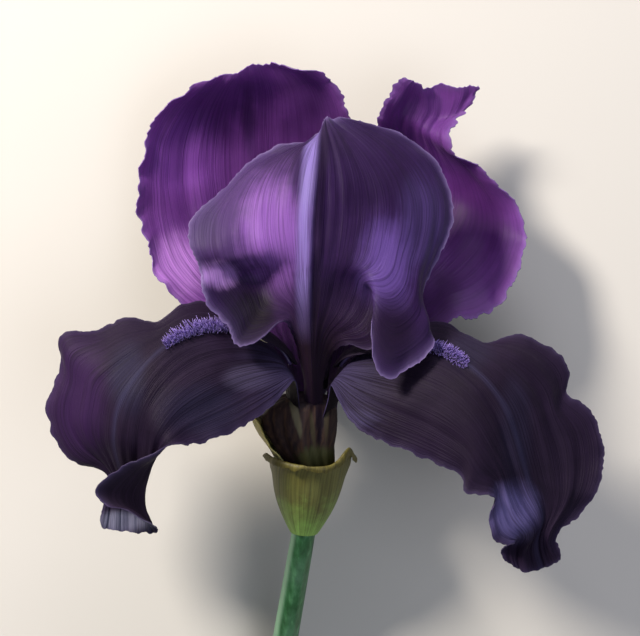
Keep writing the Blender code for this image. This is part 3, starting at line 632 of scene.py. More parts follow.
whole = lay_stains_and_painted_light(tree, place, whole, stripes, TUBE_PATCH_SPREAD, TUBE_STRIPES)
relief = add(tree, "Bump", {"Strength": 0.5, "Distance": 0.0003}, {"Height": stripes})
feed(tree, shader, {"Base Color": whole.outputs[2], "Normal": relief})
tube.data.materials.clear()
tube.data.materials.append(tube_skin)
settle(tube, "ribbed_perianth_tube", "tube", "perianth_tube")

# Falls. Three drooping petals with a narrow, veined claw that widens to a velvety blade. The blades are
# near-black violet, and their near edges have folded under. The back one lies flat behind the flower.
LEFT_FALL = [
    [(-7.4, -10, 0.2), (-7.0, -10, 1.4), (-6.3, -10, 2.6), (-5.5, -10, 3.6), (-4.8, -10, 4.4),
     (-4.2, -10, 5.0)],
    [(-8.0, -3, 1.6), (-7.6, -3, 3.0), (-6.9, -3, 4.4), (-6.1, -3, 5.6), (-5.4, -3, 6.5),
     (-4.8, -3, 7.2)],
    [(-9, 6, 0), (-8.7, 6, 2.5), (-8.2, 5.5, 5), (-7.4, 5, 7), (-6.4, 4, 8.6), (-5.6, 3, 10)],
    [(-14, 13, 0), (-13.5, 12.5, 4), (-13, 11, 7.5), (-12, 8.5, 10), (-10.5, 4, 12), (-8.5, -2, 12.5)],
    [(-21, 18, 1), (-20.5, 17, 6), (-20, 15, 10.5), (-19, 10.5, 14), (-17.5, 3, 16), (-14, -7, 15.5)],
    [(-29, 22, 2), (-28.5, 19.5, 8), (-28, 16, 13.5), (-27, 10, 17.5), (-25.5, 0, 19.5), (-21, -12, 18)],
    [(-37, 24, 4), (-36.5, 19, 11), (-35.5, 14.5, 17), (-34.5, 7.5, 20.5), (-32.5, -4, 22),
     (-28, -14.5, 20)],
    [(-43, 16, 9), (-43, 15, 14.5), (-42, 10.5, 20), (-40.5, 2, 23), (-38, -8, 24), (-34.5, -15.5, 21.5)],
    [(-54, 21, 8), (-51, 11, 16), (-47, 4.5, 22), (-45, -4, 24.5), (-42, -14, 24), (-37, -17, 26)],
    [(-60.5, 14, 9), (-58, 7, 16), (-50.5, -1.5, 22.5), (-47, -9, 24), (-41.5, -18, 22),
     (-41.5, -16.5, 27.5)],
    [(-71.5, 15.5, 7), (-63, 3, 15), (-52.5, -7.5, 22), (-47.5, -14.5, 22.5), (-42, -21, 20),
     (-45.5, -18.5, 27.5)],
    [(-67.5, 5.5, 8.5), (-63.5, -1, 15), (-52.8, -10.5, 21.7), (-47.5, -17, 21.5),
     (-42.3, -23.5, 18.5), (-49, -21, 26.5)],
    [(-73.2, -2, 8), (-64.5, -6, 15), (-53, -13.5, 21), (-47.8, -20, 20), (-43, -26, 17),
     (-53, -23.5, 25)],
    [(-73.4, -11.5, 9), (-64.5, -10.5, 15), (-52.5, -18, 18.5), (-48, -25, 16), (-43.5, -30, 15),
     (-60, -27.5, 22)],
    [(-67, -22.5, 10), (-59.5, -16, 14), (-52, -23, 15.5), (-48, -29.5, 13), (-44, -34, 13),
     (-58, -31.5, 20)],
    [(-53.6, -21.5, 11), (-53.3, -24, 12.5), (-52, -28.5, 12), (-48, -34, 10.5), (-43.5, -37, 12),
     (-50.5, -33, 18.5)],
    [(-56, -30, 12), (-55.5, -32, 11), (-52, -35, 10), (-48, -37.5, 9.5), (-43, -38.5, 11),
     (-45.5, -35.5, 15.5)],
    [(-60, -38, 13), (-55.5, -39.5, 11), (-51.5, -40, 10), (-48, -40.2, 10), (-44, -40, 10.5),
     (-42, -38, 12.5)],
]
RIGHT_FALL = [
    [(1.4, -10, 4.0), (1.8, -10, 3.5), (2.3, -10, 2.9), (2.8, -10, 2.1), (3.1, -10, 1.2),
     (3.3, -10, 0.2)],
    [(3.8, -3, 7.2), (4.4, -3, 6.5), (5.1, -3, 5.6), (5.9, -3, 4.4), (6.6, -3, 3.0), (7.0, -3, 1.6)],
    [(3.8, 2, 10), (4.8, 3, 8.6), (6.4, 4, 7), (7.6, 4.5, 5), (8.3, 5, 2.5), (8.8, 5, 0)],
    [(7, -6.5, 12.5), (9, 0.5, 12), (11, 5.5, 10), (12.5, 8.5, 7.5), (13.2, 10, 4), (13.8, 10.5, 0)],
    [(12.5, -13, 15.5), (16, -3, 16), (18.5, 5.5, 14), (20, 11, 10.5), (20.8, 13.5, 6), (21.3, 14, 1)],
    [(20.5, -16, 18), (24, -5.5, 19.5), (26.5, 4.5, 17.5), (28, 11.5, 13.5), (29, 15, 8),
     (29.5, 16.5, 2)],
    [(29, -19, 20), (31.5, -9, 22), (34, 2, 20.5), (35.5, 10.5, 17), (37, 15, 11), (38, 18, 4)],
    [(36, -22, 21.5), (38, -13, 24), (40, -2.5, 23), (42, 6, 20), (44, 11, 14.5), (46, 11, 8)],
    [(40, -24, 24), (42, -17, 25), (44, -8, 24.5), (47, 0.5, 22), (52, 7, 16), (53, 14.5, 8)],
    [(38.5, -29.5, 27), (44, -22, 25), (47, -13, 24.5), (50.5, -6, 22.5), (58, 3, 16), (63, 11, 8)],
    [(48, -29, 24), (47.5, -25, 22), (49.5, -18.5, 23), (52.5, -12, 22), (62, -1.5, 15), (70.5, 3, 8)],
    [(46, -32, 23), (48.5, -29, 21), (51.5, -23.5, 21), (54, -18, 21), (64.5, -8, 15), (66.5, -3, 12)],
    [(46, -37, 24), (49.5, -33, 21), (52.5, -28.5, 19), (55.5, -24, 19), (66, -14, 15), (76, -5, 10)],
    [(47, -43, 25), (51.5, -38, 21), (54.5, -33, 18), (57.5, -29, 17.5), (66.5, -20, 15), (79, -17, 11)],
    [(54, -42.5, 22), (55, -40.5, 19), (57.5, -37, 17), (60, -33, 16), (66.5, -26, 14.5),
     (76.5, -28, 12)],
    [(51.5, -41.5, 17), (55.5, -41.5, 16), (59.5, -40, 15), (61.5, -37, 14.5), (66, -32, 14),
     (71, -36.5, 13)],
    [(50, -43.5, 13), (53.5, -44.5, 13), (56.5, -44, 13), (59, -43, 13), (61, -42, 13.5), (63, -41, 14)],
    [(52, -47, 12), (55, -49.5, 12), (58, -50.5, 12), (61.5, -50.5, 12), (65, -49, 12.5),
     (67.5, -46.5, 13)],
]
TABLE_TOP = 0.35 - heart.z / MM
BACK_FALL = [
    [(-3.2, -8, -4.4), (-2.0, -8, -5.0), (-0.6, -8, -5.4), (0.8, -8, -5.0), (2.0, -8, -4.4)],
    [(-3.2, -1.2, -5.6), (-2.0, -1.2, -6.2), (-0.6, -1.2, -6.6), (0.8, -1.2, -6.2), (2.0, -1.2, -5.6)],
    [(-6, 0, -12), (-3.5, -2, -13), (0, -3, -13.5), (3.5, -2, -13), (6, 0, -12)],
    [(-9, 2, -20), (-5, -1, -22), (0, -2.5, -23), (5, -1, -22), (9, 2, -20)],
    [(-14, 7, -27), (-8, 3, -30), (0, 1, -31.5), (8, 3, -30), (14, 7, -27)],
    [(-21, 13, -33), (-11, 9.5, -36), (0, 8, TABLE_TOP), (11, 9.5, -36), (21, 13, -33)],
    [(-29, 22, -35), (-14, 19, TABLE_TOP), (0, 18, TABLE_TOP), (14, 19, TABLE_TOP), (29, 22, -35)],
    [(-34, 34, -35), (-16, 32, TABLE_TOP), (0, 31, TABLE_TOP), (16, 32, TABLE_TOP), (34, 34, -34)],
    [(-34, 47, -34), (-16, 45, TABLE_TOP), (0, 45, TABLE_TOP), (16, 45, TABLE_TOP), (34, 47, -35)],
    [(-30, 60, -35), (-15, 59, TABLE_TOP), (0, 59, TABLE_TOP), (15, 59, TABLE_TOP), (30, 60, -34)],
    [(-19, 70, -35), (-10, 73, TABLE_TOP), (0, 74, TABLE_TOP), (10, 73, TABLE_TOP), (19, 70, -35)],
]

# Fall skin: velvet cells drink the light head on and give a faint grey-violet sheen at a slant. Towards
# the claw the ground is a dull, paler violet under dark veins. A purple patch tints the far left lobe,
# while the grey-violet patches on the ridges, folds, haft and flap, and the stripe along the midrib, are
# painted sheen and highlights.
fall_face = petal_skin("Velvety black-violet fall", "#1c1224", "#110916", "#383150", "#2a1c3c",
                       claw_end=(0.12, 0.28), streaks=56.0, vein_depth=0.35, claw_veins=0.8, rough=0.55,
                       gloss=0.08, sheen=0.03, sheen_tint="#b4b0dc", mottle=0.6, relief_mm=0.1,
                       margin_share=0.15, rim_highlight="#4f4468", rim_highlight_share=0.35, patches=(
                           ("#2e183e", (-66, -2), (12, 22), 0.85), ("#24223a", (-51, 2), (6, 12), 0.6),
                           ("#7a7a90", (-52, -37), (9, 3.5), 0.85), ("#262338", (42, 10), (8, 6), 0.5),
                           ("#26243c", (-30, -6), (14, 8), 0.5), ("#6a6298", (53, -34), (8, 9), 0.7),
                           ("#262238", (54, -12), (5, 16), 0.5), ("#4c4668", (9, -9), (8, 3), 0.5),
                           ("#544c66", (-18, 2), (8, 4), 0.5)),
                       bands=(("#3c3a58", -0.8, 0.6, 0.9, 0.35),))
fall_reverse = petal_skin("Dull underside of a fall", "#231828", "#120c14", "#161012", "#3c3348",
                          claw_end=(0.12, 0.3), streaks=30.0, gloss=0.04, sheen=0.01, mottle=0.5)
FALL_RIBS = {"left": 0.4, "right": 0.6, "back": 0.5}
FALL_EDGE = {"waves": ((24, 1.1, 9), (10, 0.8, 5), (4.5, 0.35, 2.5)), "nicks": (0.35, 2.6, 1.4),
             "swells": ((20, 0.6), (8, 0.3)), "pleats": (9, 1.3)}
for side, rows, seed in (("left", LEFT_FALL, 11), ("right", RIGHT_FALL, 12)):
    fall = petal(f"{side}_fall", rows, [fall_face, fall_reverse], rib=FALL_RIBS[side], **FALL_EDGE,
                 seed=seed, face_below=True)
    settle(fall, f"{side}_fall_petal", "fall", f"{side}_fall")
back_fall = petal("back_fall", BACK_FALL, [fall_face, fall_reverse], waves=((20, 0.5, 6), (8, 0.3, 4)),
                  nicks=(0.4, 2.6, 1.4), seed=13)
for vertex in back_fall.data.vertices:
    vertex.co.z = max(vertex.co.z, 0.0)
settle(back_fall, "back_fall_petal", "fall", "back_fall")

# Beards. A strip of stiff, fleshy hairs stands along the midrib of each fall. Each hair is violet at
# its root and pales to its tip. One hair is modelled and then copied along the strip.
BEARD_HAIRS = 760
HAIR_LENGTH = (1.6, 3.9)
HAIR_RADIUS = 0.12
HAIR_ROOT = 0.1
HAIR_SPREAD = 0.55
HAIR_STRAY = 0.25
HAIR_FORWARD = (0.1, 0.7)
HAIR_CURVE = 0.16
HAIR_SWELL = 1.25
BEARDS = {"left": ((3.6, 6.8), 1.0), "right": ((4.8, 6.9), 0.55), "back": ((4.6, 7.0), 1.0)}
BEARD_HALF_WIDTH = 1.9

deselect()
bpy.ops.mesh.primitive_cone_add(vertices=5, radius1=HAIR_RADIUS, radius2=HAIR_RADIUS * 0.35, depth=1.0,
                                location=(0, 0, 0.5))
hair = bpy.context.object
bpy.ops.object.transform_apply(location=True, rotation=True, scale=True)
bpy.ops.object.mode_set(mode="EDIT")
shape = bmesh.from_edit_mesh(hair.data)
long_edges = [edge for edge in shape.edges if abs(edge.verts[0].co.z - edge.verts[1].co.z) > 0.5]
bmesh.ops.subdivide_edges(shape, edges=long_edges, cuts=2)
for vertex in shape.verts:
    vertex.co.y += HAIR_CURVE * vertex.co.z ** 2
    if 0.2 < vertex.co.z < 0.5:
        vertex.co.x *= HAIR_SWELL
bmesh.update_edit_mesh(hair.data)
bpy.ops.object.mode_set(mode="OBJECT")
hair_shape = hair.data.copy()
bpy.data.objects.remove(hair)

hair_skin, tree, shader = new_skin("Violet beard hair with pale tip", Roughness=0.5, Sheen_Weight=0.3,
                                   Sheen_Tint=linear("#cfc3f2"))
length = add(tree, "Attribute", {"attribute_name": "tip"})
shade = add(tree, "ValToRGB", {"stops": [(0.0, "#1f103a"), (0.5, "#4b3384"), (1.0, "#917cc6")]},
            {"Fac": length.outputs["Fac"]})
feed(tree, shader, {"Base Color": shade})


def fall_spot(side, row_place, aside=0.0):
    """The place, normal and forward way on a fall, along it in its rows and aside of its midrib."""
    lattice, normal, last_row = surfaces[f"{side}_fall"]
    across = FALL_RIBS[side] + aside
    row = min(max(row_place / last_row, 0.0), 1.0) * (lattice.shape[0] - 2)
    column = min(max(across, 0.0), 1.0) * (lattice.shape[1] - 1)
    i, j = int(row), min(int(column), lattice.shape[1] - 2)
    here = lattice[i, j] + (lattice[i, j + 1] - lattice[i, j]) * (column - j)
    ahead = lattice[i + 1, j] + (lattice[i + 1, j + 1] - lattice[i + 1, j]) * (column - j)
    return Vector(here), Vector(normal[i, j]), Vector(ahead - here).normalized()


random.seed(20)
for side, ((first, last), height) in BEARDS.items():
    deselect()
    bpy.ops.mesh.primitive_plane_add(size=MM)
    piece = bpy.context.object
    shape = bmesh.new()
    tip_layer = shape.verts.layers.float.new("tip")
    lattice, _, last_row = surfaces[f"{side}_fall"]
    width = np.linalg.norm(np.diff(lattice, axis=1), axis=2).sum(axis=1)
    for index in range(BEARD_HAIRS):
        along = first + (last - first) * (index + random.random()) / BEARD_HAIRS
        fade = math.sin(math.pi * min(1.0, max(0.0, 0.06 + 0.88 * (index / BEARD_HAIRS)))) ** 0.4
        spread = random.uniform(-1, 1)
        wide = width[round(along / last_row * (lattice.shape[0] - 1))]
        spot, normal, way = fall_spot(side, along, spread * BEARD_HALF_WIDTH * fade / wide)
        beside = normal.cross(way).normalized()
        lean = (normal + beside * (spread * HAIR_SPREAD + random.uniform(-HAIR_STRAY, HAIR_STRAY))
                + way * random.uniform(*HAIR_FORWARD))
        size = height * random.uniform(*HAIR_LENGTH) * (0.45 + 0.55 * fade)
        before = len(shape.verts)
        shape.from_mesh(hair_shape)
        shape.verts.ensure_lookup_table()
        fresh = shape.verts[before:]
        for vertex in fresh:
            vertex[tip_layer] = vertex.co.z
        twist = Matrix.Rotation(random.uniform(0, math.tau), 3, "Z").to_quaternion()
        grown = Matrix.LocRotScale(at(spot - normal * HAIR_ROOT), lean.to_track_quat("Z", "Y") @ twist,
                                   Vector((1, 1, size)) * MM)
        bmesh.ops.transform(shape, matrix=grown, verts=fresh)
    shape.to_mesh(piece.data)
    shape.free()
    piece.data.materials.clear()
    piece.data.materials.append(hair_skin)
    piece.data.shade_smooth()
    settle(piece, f"{side}_beard_hairs", "beard", f"{side}_beard")

# Stamens. A stamen lies over each fall's claw, roofed by the style arm: a slim, dark violet filament
# that carries a long cream anther. The anther has two pollen sacs with a groove between them.
STAMENS = {"left": ((2.05, 2.95), 1.5), "right": ((2.1, 3.0), 1.5), "back": ((2.2, 3.0), 2.2)}
FILAMENT_RADII = (0.5175, 0.3375)
FILAMENT_STEPS = 8
FILAMENT_SIDES = 12
ANTHER_LENGTH = 7.0
ANTHER_HALF = (0.88, 0.68)
ANTHER_GAP = 0.3
GROOVE_DEPTH = 0.42
GROOVE_WIDTH = 0.28

filament_skin = speckled_skin("Smooth violet filament", "#2c2142", "#44345f", 500.0, 3.0, 0.4)
anther_skin = speckled_skin("Powdery cream anther", "#b9a77c", "#efe6c4", 3500.0, 3.0, 0.85, relief=0.6)

for side, ((first, last), lift) in STAMENS.items():
    rings = []
    for step in range(FILAMENT_STEPS + 1):
        share = step / FILAMENT_STEPS
        spot, normal, way = fall_spot(side, first + (last - first) * share)
        radius = FILAMENT_RADII[0] + (FILAMENT_RADII[1] - FILAMENT_RADII[0]) * share
        rings.append((spot + normal * lift, radius, way))
    filament = stalk(rings, FILAMENT_SIDES)
    filament.data.materials.append(filament_skin)
    filament.data.shade_smooth()
    settle(filament, f"{side}_violet_filament", "filament", f"{side}_filament")

    start = rings[-1][0]
    ahead, normal, _ = fall_spot(side, last + (last - first) * 1.2)
    way = (ahead + normal * lift * 1.25 - start).normalized()
    deselect()
    bpy.ops.mesh.primitive_uv_sphere_add(segments=24, ring_count=16, radius=1.0)
    anther = bpy.context.object
    for vertex in anther.data.vertices:
        groove = 1 - GROOVE_DEPTH * math.exp(-(vertex.co.x / GROOVE_WIDTH) ** 2)
        vertex.co.x *= ANTHER_HALF[0]
        vertex.co.y *= ANTHER_HALF[1] * groove
        vertex.co.z *= ANTHER_LENGTH / 2
    anther.data.transform(Matrix.LocRotScale(at(start + way * (ANTHER_LENGTH / 2 + ANTHER_GAP)),
                                             way.to_track_quat("Z", "Y"), Vector((MM, MM, MM))))
    anther.data.materials.append(anther_skin)
    anther.data.shade_smooth()
    settle(anther, f"{side}_cream_anther", "anther", f"{side}_anther")

# Style arms. Three stiff, keeled straps rise from the heart and roof the stamens. Each ends in a crest of
# two upturned lobes. Their near-black violet is partly their own dark colour and partly painted shade,
# as they lie deep in the flower's mouth.
STYLE_RIDGE = 3.5
STYLE_EDGE = 2.4
STYLE_HALF_WIDTH = 3.4
CREST_RISE = 1.6
CREST_SPREAD = 0.8
CREST_STEPS = ((0.35, 1.2), (0.75, 1.8), (1.0, 2.4))
CREST_LOBES = ((-1, 0.9), (-0.5, 1.15), (0, 0.35), (0.5, 1.15), (1, 0.9))
STYLES = {
    "left": ((2.0, 2.4, 2.8, 3.2, 3.5), 0.0), "right": ((2.0, 2.4, 2.8, 3.2, 3.5), 0.0),
    "back": ((2.0, 2.45, 3.0, 3.5, 4.0), 0.9),
}
style_skin = petal_skin("Silky black-violet style arm", "#150d1b", "#0d0811", "#171019", "#22182e",
                        streaks=14.0, vein_depth=0.4, gloss=0.1, sheen=0.03, mottle=0.3, rim_highlight="#2c2038")
for side, (steps, room) in STYLES.items():
    rows = []
    for along in steps:
        spot, normal, way = fall_spot(side, along)
        beside = normal.cross(way).normalized()
        if side == "back":
            beside = -beside
        share = (along - steps[0]) / (steps[-1] - steps[0])
        half = STYLE_HALF_WIDTH * (0.55 + 0.45 * min(1.0, share * 1.6))
        rows.append([spot + normal * (room + STYLE_EDGE + (STYLE_RIDGE - STYLE_EDGE) * (1 - abs(x) ** 1.5))
                     + beside * (half * x) for x, _ in CREST_LOBES])
    onward = (rows[-1][2] - rows[-2][2]).normalized()
    for rise, forward in CREST_STEPS:
        rows.append([end + normal * (CREST_RISE * rise * lobe) + onward * forward
                     + beside * (x * CREST_SPREAD * rise)
                     for end, (x, lobe) in zip(rows[len(steps) - 1], CREST_LOBES)])
    arm = petal(f"{side}_style_arm", rows, [style_skin, style_skin], **STIFF_SHEET,
                waves=((4, 0.25, 1.2),), nicks=(0.3, 1.6, 0.9), seed=17)
    settle(arm, f"{side}_crested_style_arm", "style_arm", f"{side}_style_arm")

# Standards. Three upright petals, domed over the heart. Their skin is silkier and redder than the
# falls', their edges are ruffled, and the front one shows its outer face with its thick, pale midrib.
LEFT_STANDARD = [
    [(-5.6, -9, -1.0), (-5.0, -9, -1.8), (-4.3, -9, -2.6), (-3.6, -9, -3.4), (-3.0, -9, -4.0)],
    [(-6.3, -2, -1.2), (-5.5, -2, -2.2), (-4.7, -2, -3.2), (-3.9, -2, -4.2), (-3.2, -2, -5.0)],
    [(-10, 8, -2), (-9, 8.5, -5), (-7.6, 9, -8), (-5.8, 10, -9.5), (-4.2, 11, -10)],
    [(-22, 16, -6), (-17, 19, -12), (-12, 21, -17), (-7, 22, -20), (-2.5, 23, -20)],
    [(-34, 22, -6), (-26, 28, -17), (-16, 33, -25), (-8, 35, -28), (0, 36, -26)],
    [(-45, 28, -7), (-35, 37, -22), (-19, 45, -31), (-8, 47, -32), (3, 48, -28)],
    [(-46, 40, -13), (-40, 48, -27), (-21, 56, -33), (-7, 58, -32), (7.5, 59, -26)],
    [(-50, 55, -18), (-41, 60, -30), (-21.5, 66, -32), (-7, 68, -29), (10.5, 69, -20)],
    [(-49.5, 68, -20), (-39, 71, -28), (-21, 76, -28), (-7, 77, -24), (9, 77, -14)],
    [(-42, 78, -17), (-33, 80, -22), (-20.5, 84, -21), (-8, 85, -17), (3, 86, -10)],
    [(-33, 83, -13), (-27, 85, -14), (-20, 90, -14), (-13, 90, -12), (-4, 90, -9)],
]
RIGHT_STANDARD = [
    [(2.6, -9, -4.0), (3.3, -9, -3.4), (4.0, -9, -2.6), (4.8, -9, -1.8), (5.4, -9, -1.0)],
    [(3.0, -2, -5.0), (3.7, -2, -4.2), (4.5, -2, -3.2), (5.3, -2, -2.2), (6.1, -2, -1.2)],
    [(4.6, 11, -9), (6, 10, -8.5), (8, 9, -7.5), (9.5, 8.5, -5), (11, 8, -2.5)],
    [(6, 22, -17), (9, 21, -17), (13, 20, -15), (18, 18, -10), (23, 14, -5)],
    [(8, 34, -21), (12, 33, -23), (18, 31, -22), (26, 26, -14), (34, 12, -6)],
    [(11, 45, -22), (16, 44, -26), (22, 41, -27), (33, 33, -19), (38, 19, -7)],
    [(14, 54, -21), (19, 53, -27), (25, 49, -30), (38, 40, -23), (45, 18, -6)],
    [(16, 61, -19), (21, 60, -26), (27, 56, -30), (42, 46, -26), (55, 25, -10)],
    [(18, 67, -16), (23, 66, -23), (28.5, 62, -28), (43, 52, -27), (59.5, 39, -15)],
    [(18, 71, -14), (23, 69.5, -19), (29, 65.5, -24), (40, 58, -25), (56.5, 51, -16)],
    [(18, 74, -13), (23.5, 72, -17.5), (28.5, 68, -21), (36, 62.5, -20), (47.5, 60.5, -14)],
    [(18, 76.5, -12), (24, 74, -16), (28.5, 70, -19), (33.5, 66.5, -17), (40.5, 64.5, -12)],
    [(18.3, 78.5, -11.5), (24.5, 75.5, -15.5), (29, 72, -18), (33.5, 69.3, -17), (37.5, 68.5, -13)],
    [(19.5, 80, -11), (25.5, 77, -15), (30, 74, -18.5), (34.5, 71.8, -19), (39.3, 71.2, -17)],
    [(21.5, 82, -10.5), (26.5, 79.5, -14), (31.5, 76, -18), (36.5, 74, -20.5), (41.5, 75.5, -19.5)],
    [(23.5, 83.2, -9.5), (27, 81.8, -12), (31.2, 78.5, -15.5), (38, 80, -18), (45.5, 82, -16)],
    [(25, 84, -9), (28.3, 83, -11), (31, 80, -14), (37, 83.2, -15), (47, 84.8, -14.5)],
]
FRONT_STANDARD = [
    [(-3.4, -11, 0), (-2.8, -11, 0.7), (-2.1, -11, 1.2), (-1.4, -11, 1.5), (-0.8, -11, 1.6),
     (-0.3, -11, 1.5), (0.2, -11, 1.3), (0.8, -11, 1), (1.3, -11, 0.6), (1.8, -11, 0)],
    [(-3, -2, 5.6), (-2.6, -2, 6.4), (-2, -2, 7), (-1.4, -2, 7.4), (-0.9, -2, 7.6), (-0.4, -2, 7.5),
     (0.1, -2, 7.2), (0.6, -2, 6.8), (1.2, -2, 6.2), (1.7, -2, 5.6)],
    [(-3.2, 4, 7), (-2.9, 4, 8.2), (-2.4, 4, 9.2), (-1.8, 4, 9.8), (-1.2, 4, 10.2), (-0.7, 4, 10),
     (-0.1, 4, 9.4), (0.5, 4, 8.8), (1.2, 4, 8), (1.9, 4, 7)],
    [(-5, 11, 9), (-4.2, 10, 10), (-3.3, 10, 11), (-2.4, 10, 12), (-1.5, 10, 12.6), (-0.7, 10, 12.3),
     (0.4, 10, 11.5), (1.8, 10, 10.6), (3, 9.8, 9.8), (4, 9, 9)],
    [(-7.2, 17, 13), (-6, 16, 12.5), (-4.8, 15.5, 13), (-3.2, 15, 14.2), (-1.7, 15, 15), (-0.4, 15, 14.5),
     (1.6, 15, 13.4), (4, 15, 13.2), (6.2, 14, 13.2), (8, 12, 13.2)],
    [(-9.5, 17.5, 17.5), (-8.4, 18.5, 14), (-6.4, 20, 14), (-4.2, 20.5, 15.6), (-1.8, 20, 16.8),
     (0.2, 20, 16), (4, 19.5, 15.3), (8.5, 17.5, 15.3), (11.5, 14, 15.3), (13.5, 9, 15.3)],
    [(-14.5, 12.5, 20), (-12.5, 17.5, 15.5), (-9, 22, 15), (-5.4, 23.5, 16.2), (-1.8, 24, 18),
     (0.5, 24, 17), (5.5, 24, 15.3), (11, 21.5, 15.5), (15.5, 17.5, 15.5), (19, 11.5, 16)],
    [(-22, 9, 20.5), (-18.5, 16, 16), (-12.5, 23, 13.8), (-6.8, 26.5, 16.6), (-1.8, 27, 18.9),
     (0.8, 27, 17.8), (6.5, 27.5, 16.8), (12.5, 26, 15.5), (17, 25, 14.8), (20, 23.8, 16.5)],
    [(-21.5, 14, 19.5), (-18.5, 19.5, 16), (-13.5, 25.5, 12.3), (-7.4, 29, 17.3), (-1.8, 29.3, 19.4),
     (1, 29.5, 18.2), (7, 30, 18.2), (13, 29, 17.2), (15.6, 26, 20.3), (14.8, 21.5, 22.3)],
    [(-25.5, 19, 19.5), (-21, 24.5, 14), (-14.5, 29.5, 10), (-8, 31.2, 18), (-1.8, 31.3, 19.9),
     (1.2, 31.5, 18.6), (8, 32, 19), (15, 31, 20.3), (17, 20, 23.5), (14.6, 11.5, 24.8)],
    [(-31.5, 23.5, 18), (-24, 29, 14.5), (-15.5, 33, 12), (-8.5, 33, 18.8), (-1.7, 33.2, 20.4),
     (1.4, 33.5, 19), (8.8, 34, 19.4), (17.3, 32, 20.5), (21, 16.5, 23), (16.8, -0.6, 24.8)],
    [(-30.5, 31.5, 16), (-24, 31.5, 17.5), (-16, 32.5, 17), (-9, 35, 19.8), (-1.6, 35, 20.8),
     (1.5, 35.5, 19.3), (9.2, 36, 19.6), (19, 33, 20.2), (24.5, 17.5, 21.3), (25.5, 5, 22)],
    [(-33, 35, 18), (-26.5, 33.8, 21.5), (-18, 34.8, 22), (-9.6, 38, 20.8), (-1.5, 38, 21.2),
     (1.7, 38.5, 19.6), (9.7, 38.5, 19.6), (20.3, 35.5, 19.4), (27.5, 21.5, 18.8), (34.6, 11.6, 19.5)],
    [(-34.5, 40, 15.5), (-27.5, 39, 20.2), (-19, 40, 20.8), (-10.2, 41.5, 20.9), (-1.4, 41.5, 21.5),
     (1.9, 41.5, 19.7), (10.2, 41, 19.4), (21, 38.5, 18.4), (28.5, 30, 15.5), (26.5, 17, 17)],
    [(-34, 45.5, 12.5), (-27.3, 43.5, 17.5), (-19, 44.5, 19.5), (-10.6, 45.5, 20.6), (-1.2, 45.5, 21.6),
     (2.1, 45.5, 19.6), (10.8, 44.5, 19), (21.8, 42.5, 16.8), (31, 36, 12), (29, 25, 13)],
    [(-29.8, 49.3, 10), (-26, 48, 15), (-18.3, 49.5, 17.8), (-10.4, 50.5, 19.6), (-0.8, 50.5, 21.2),
     (2.3, 50, 19.1), (11, 49, 18.2), (22.5, 47.5, 15.2), (32, 43, 9), (33, 35, 8.5)],
    [(-25, 52.5, 8.5), (-22.5, 52.5, 12), (-16.5, 54.5, 15), (-9.6, 55.5, 18), (-0.3, 56, 19.8),
     (2.5, 55, 18), (10.5, 54, 17), (22, 53, 13.2), (32, 50.5, 6.5), (38.5, 45, 4)],
    [(-22.5, 58, 4), (-18.5, 58, 8.5), (-13.5, 59.5, 12), (-8, 60.5, 15.5), (0.1, 61, 17.8),
     (2.6, 60, 16.3), (9.5, 59, 15), (19.5, 59, 11), (28.5, 58, 5), (37, 54.5, 2)],
    [(-16, 64, 1.5), (-13, 62.5, 5), (-9.5, 63.2, 8.8), (-5.2, 64, 12), (0.3, 65, 14.6), (2.5, 65, 13.6),
     (7.5, 64.5, 12.5), (14.5, 65, 9), (22, 65.5, 4.8), (31, 64.5, 2)],
    [(-9, 66.3, 2), (-6.8, 65, 4), (-4.8, 65, 6.8), (-2.2, 65.5, 9.4), (0.4, 68, 11), (2.2, 69.5, 10.4),
     (5, 69.5, 9.2), (9.5, 69.5, 7), (14.5, 70, 4.5), (21.5, 70.5, 3)],
    [(-1.6, 65.3, 5), (-1.1, 66, 5.6), (-0.6, 67.2, 6), (0.1, 69.4, 6.2), (0.9, 72.3, 6.4),
     (2, 73.6, 6.2), (3.3, 73.7, 6), (5.2, 73.5, 5.7), (7.5, 73.2, 5.4), (10, 72.8, 5)],
]

# Standard skin: silky, with a violet sheen. The inner face is a deep red-purple, and the outer face a
# greyer violet that pales to lavender along the midrib. The patches on the inner face are painted light
# and shade on the side standards' lit and shaded lobes and folds, and its near-black claw is painted
# shade in the heart of the flower.
inner_skin = petal_skin("Silky purple inner face", "#532a6a", "#37174b", "#1c1024", "#8a58a6",
                        claw_end=(0.2, 0.34), vein_depth=0.4, rough=0.44, gloss=0.12, sheen=0.06,
                        sheen_tint="#c79be6", mottle=0.45, margin_share=0.35, through=0.12, patches=(
                            ("#7c47a0", (-38, 64), (14, 14), 0.5), ("#a673be", (-39, 32), (9, 12), 0.85),
                            ("#26133a", (-19, 74), (3, 12), 0.8), ("#35194a", (-3, 77), (9, 11), 0.7),
                            ("#24142e", (36, 25), (5, 8), 0.6), ("#431c54", (44, 48), (16, 22), 0.75),
                            ("#431c56", (27, 77), (12, 8), 0.6)))
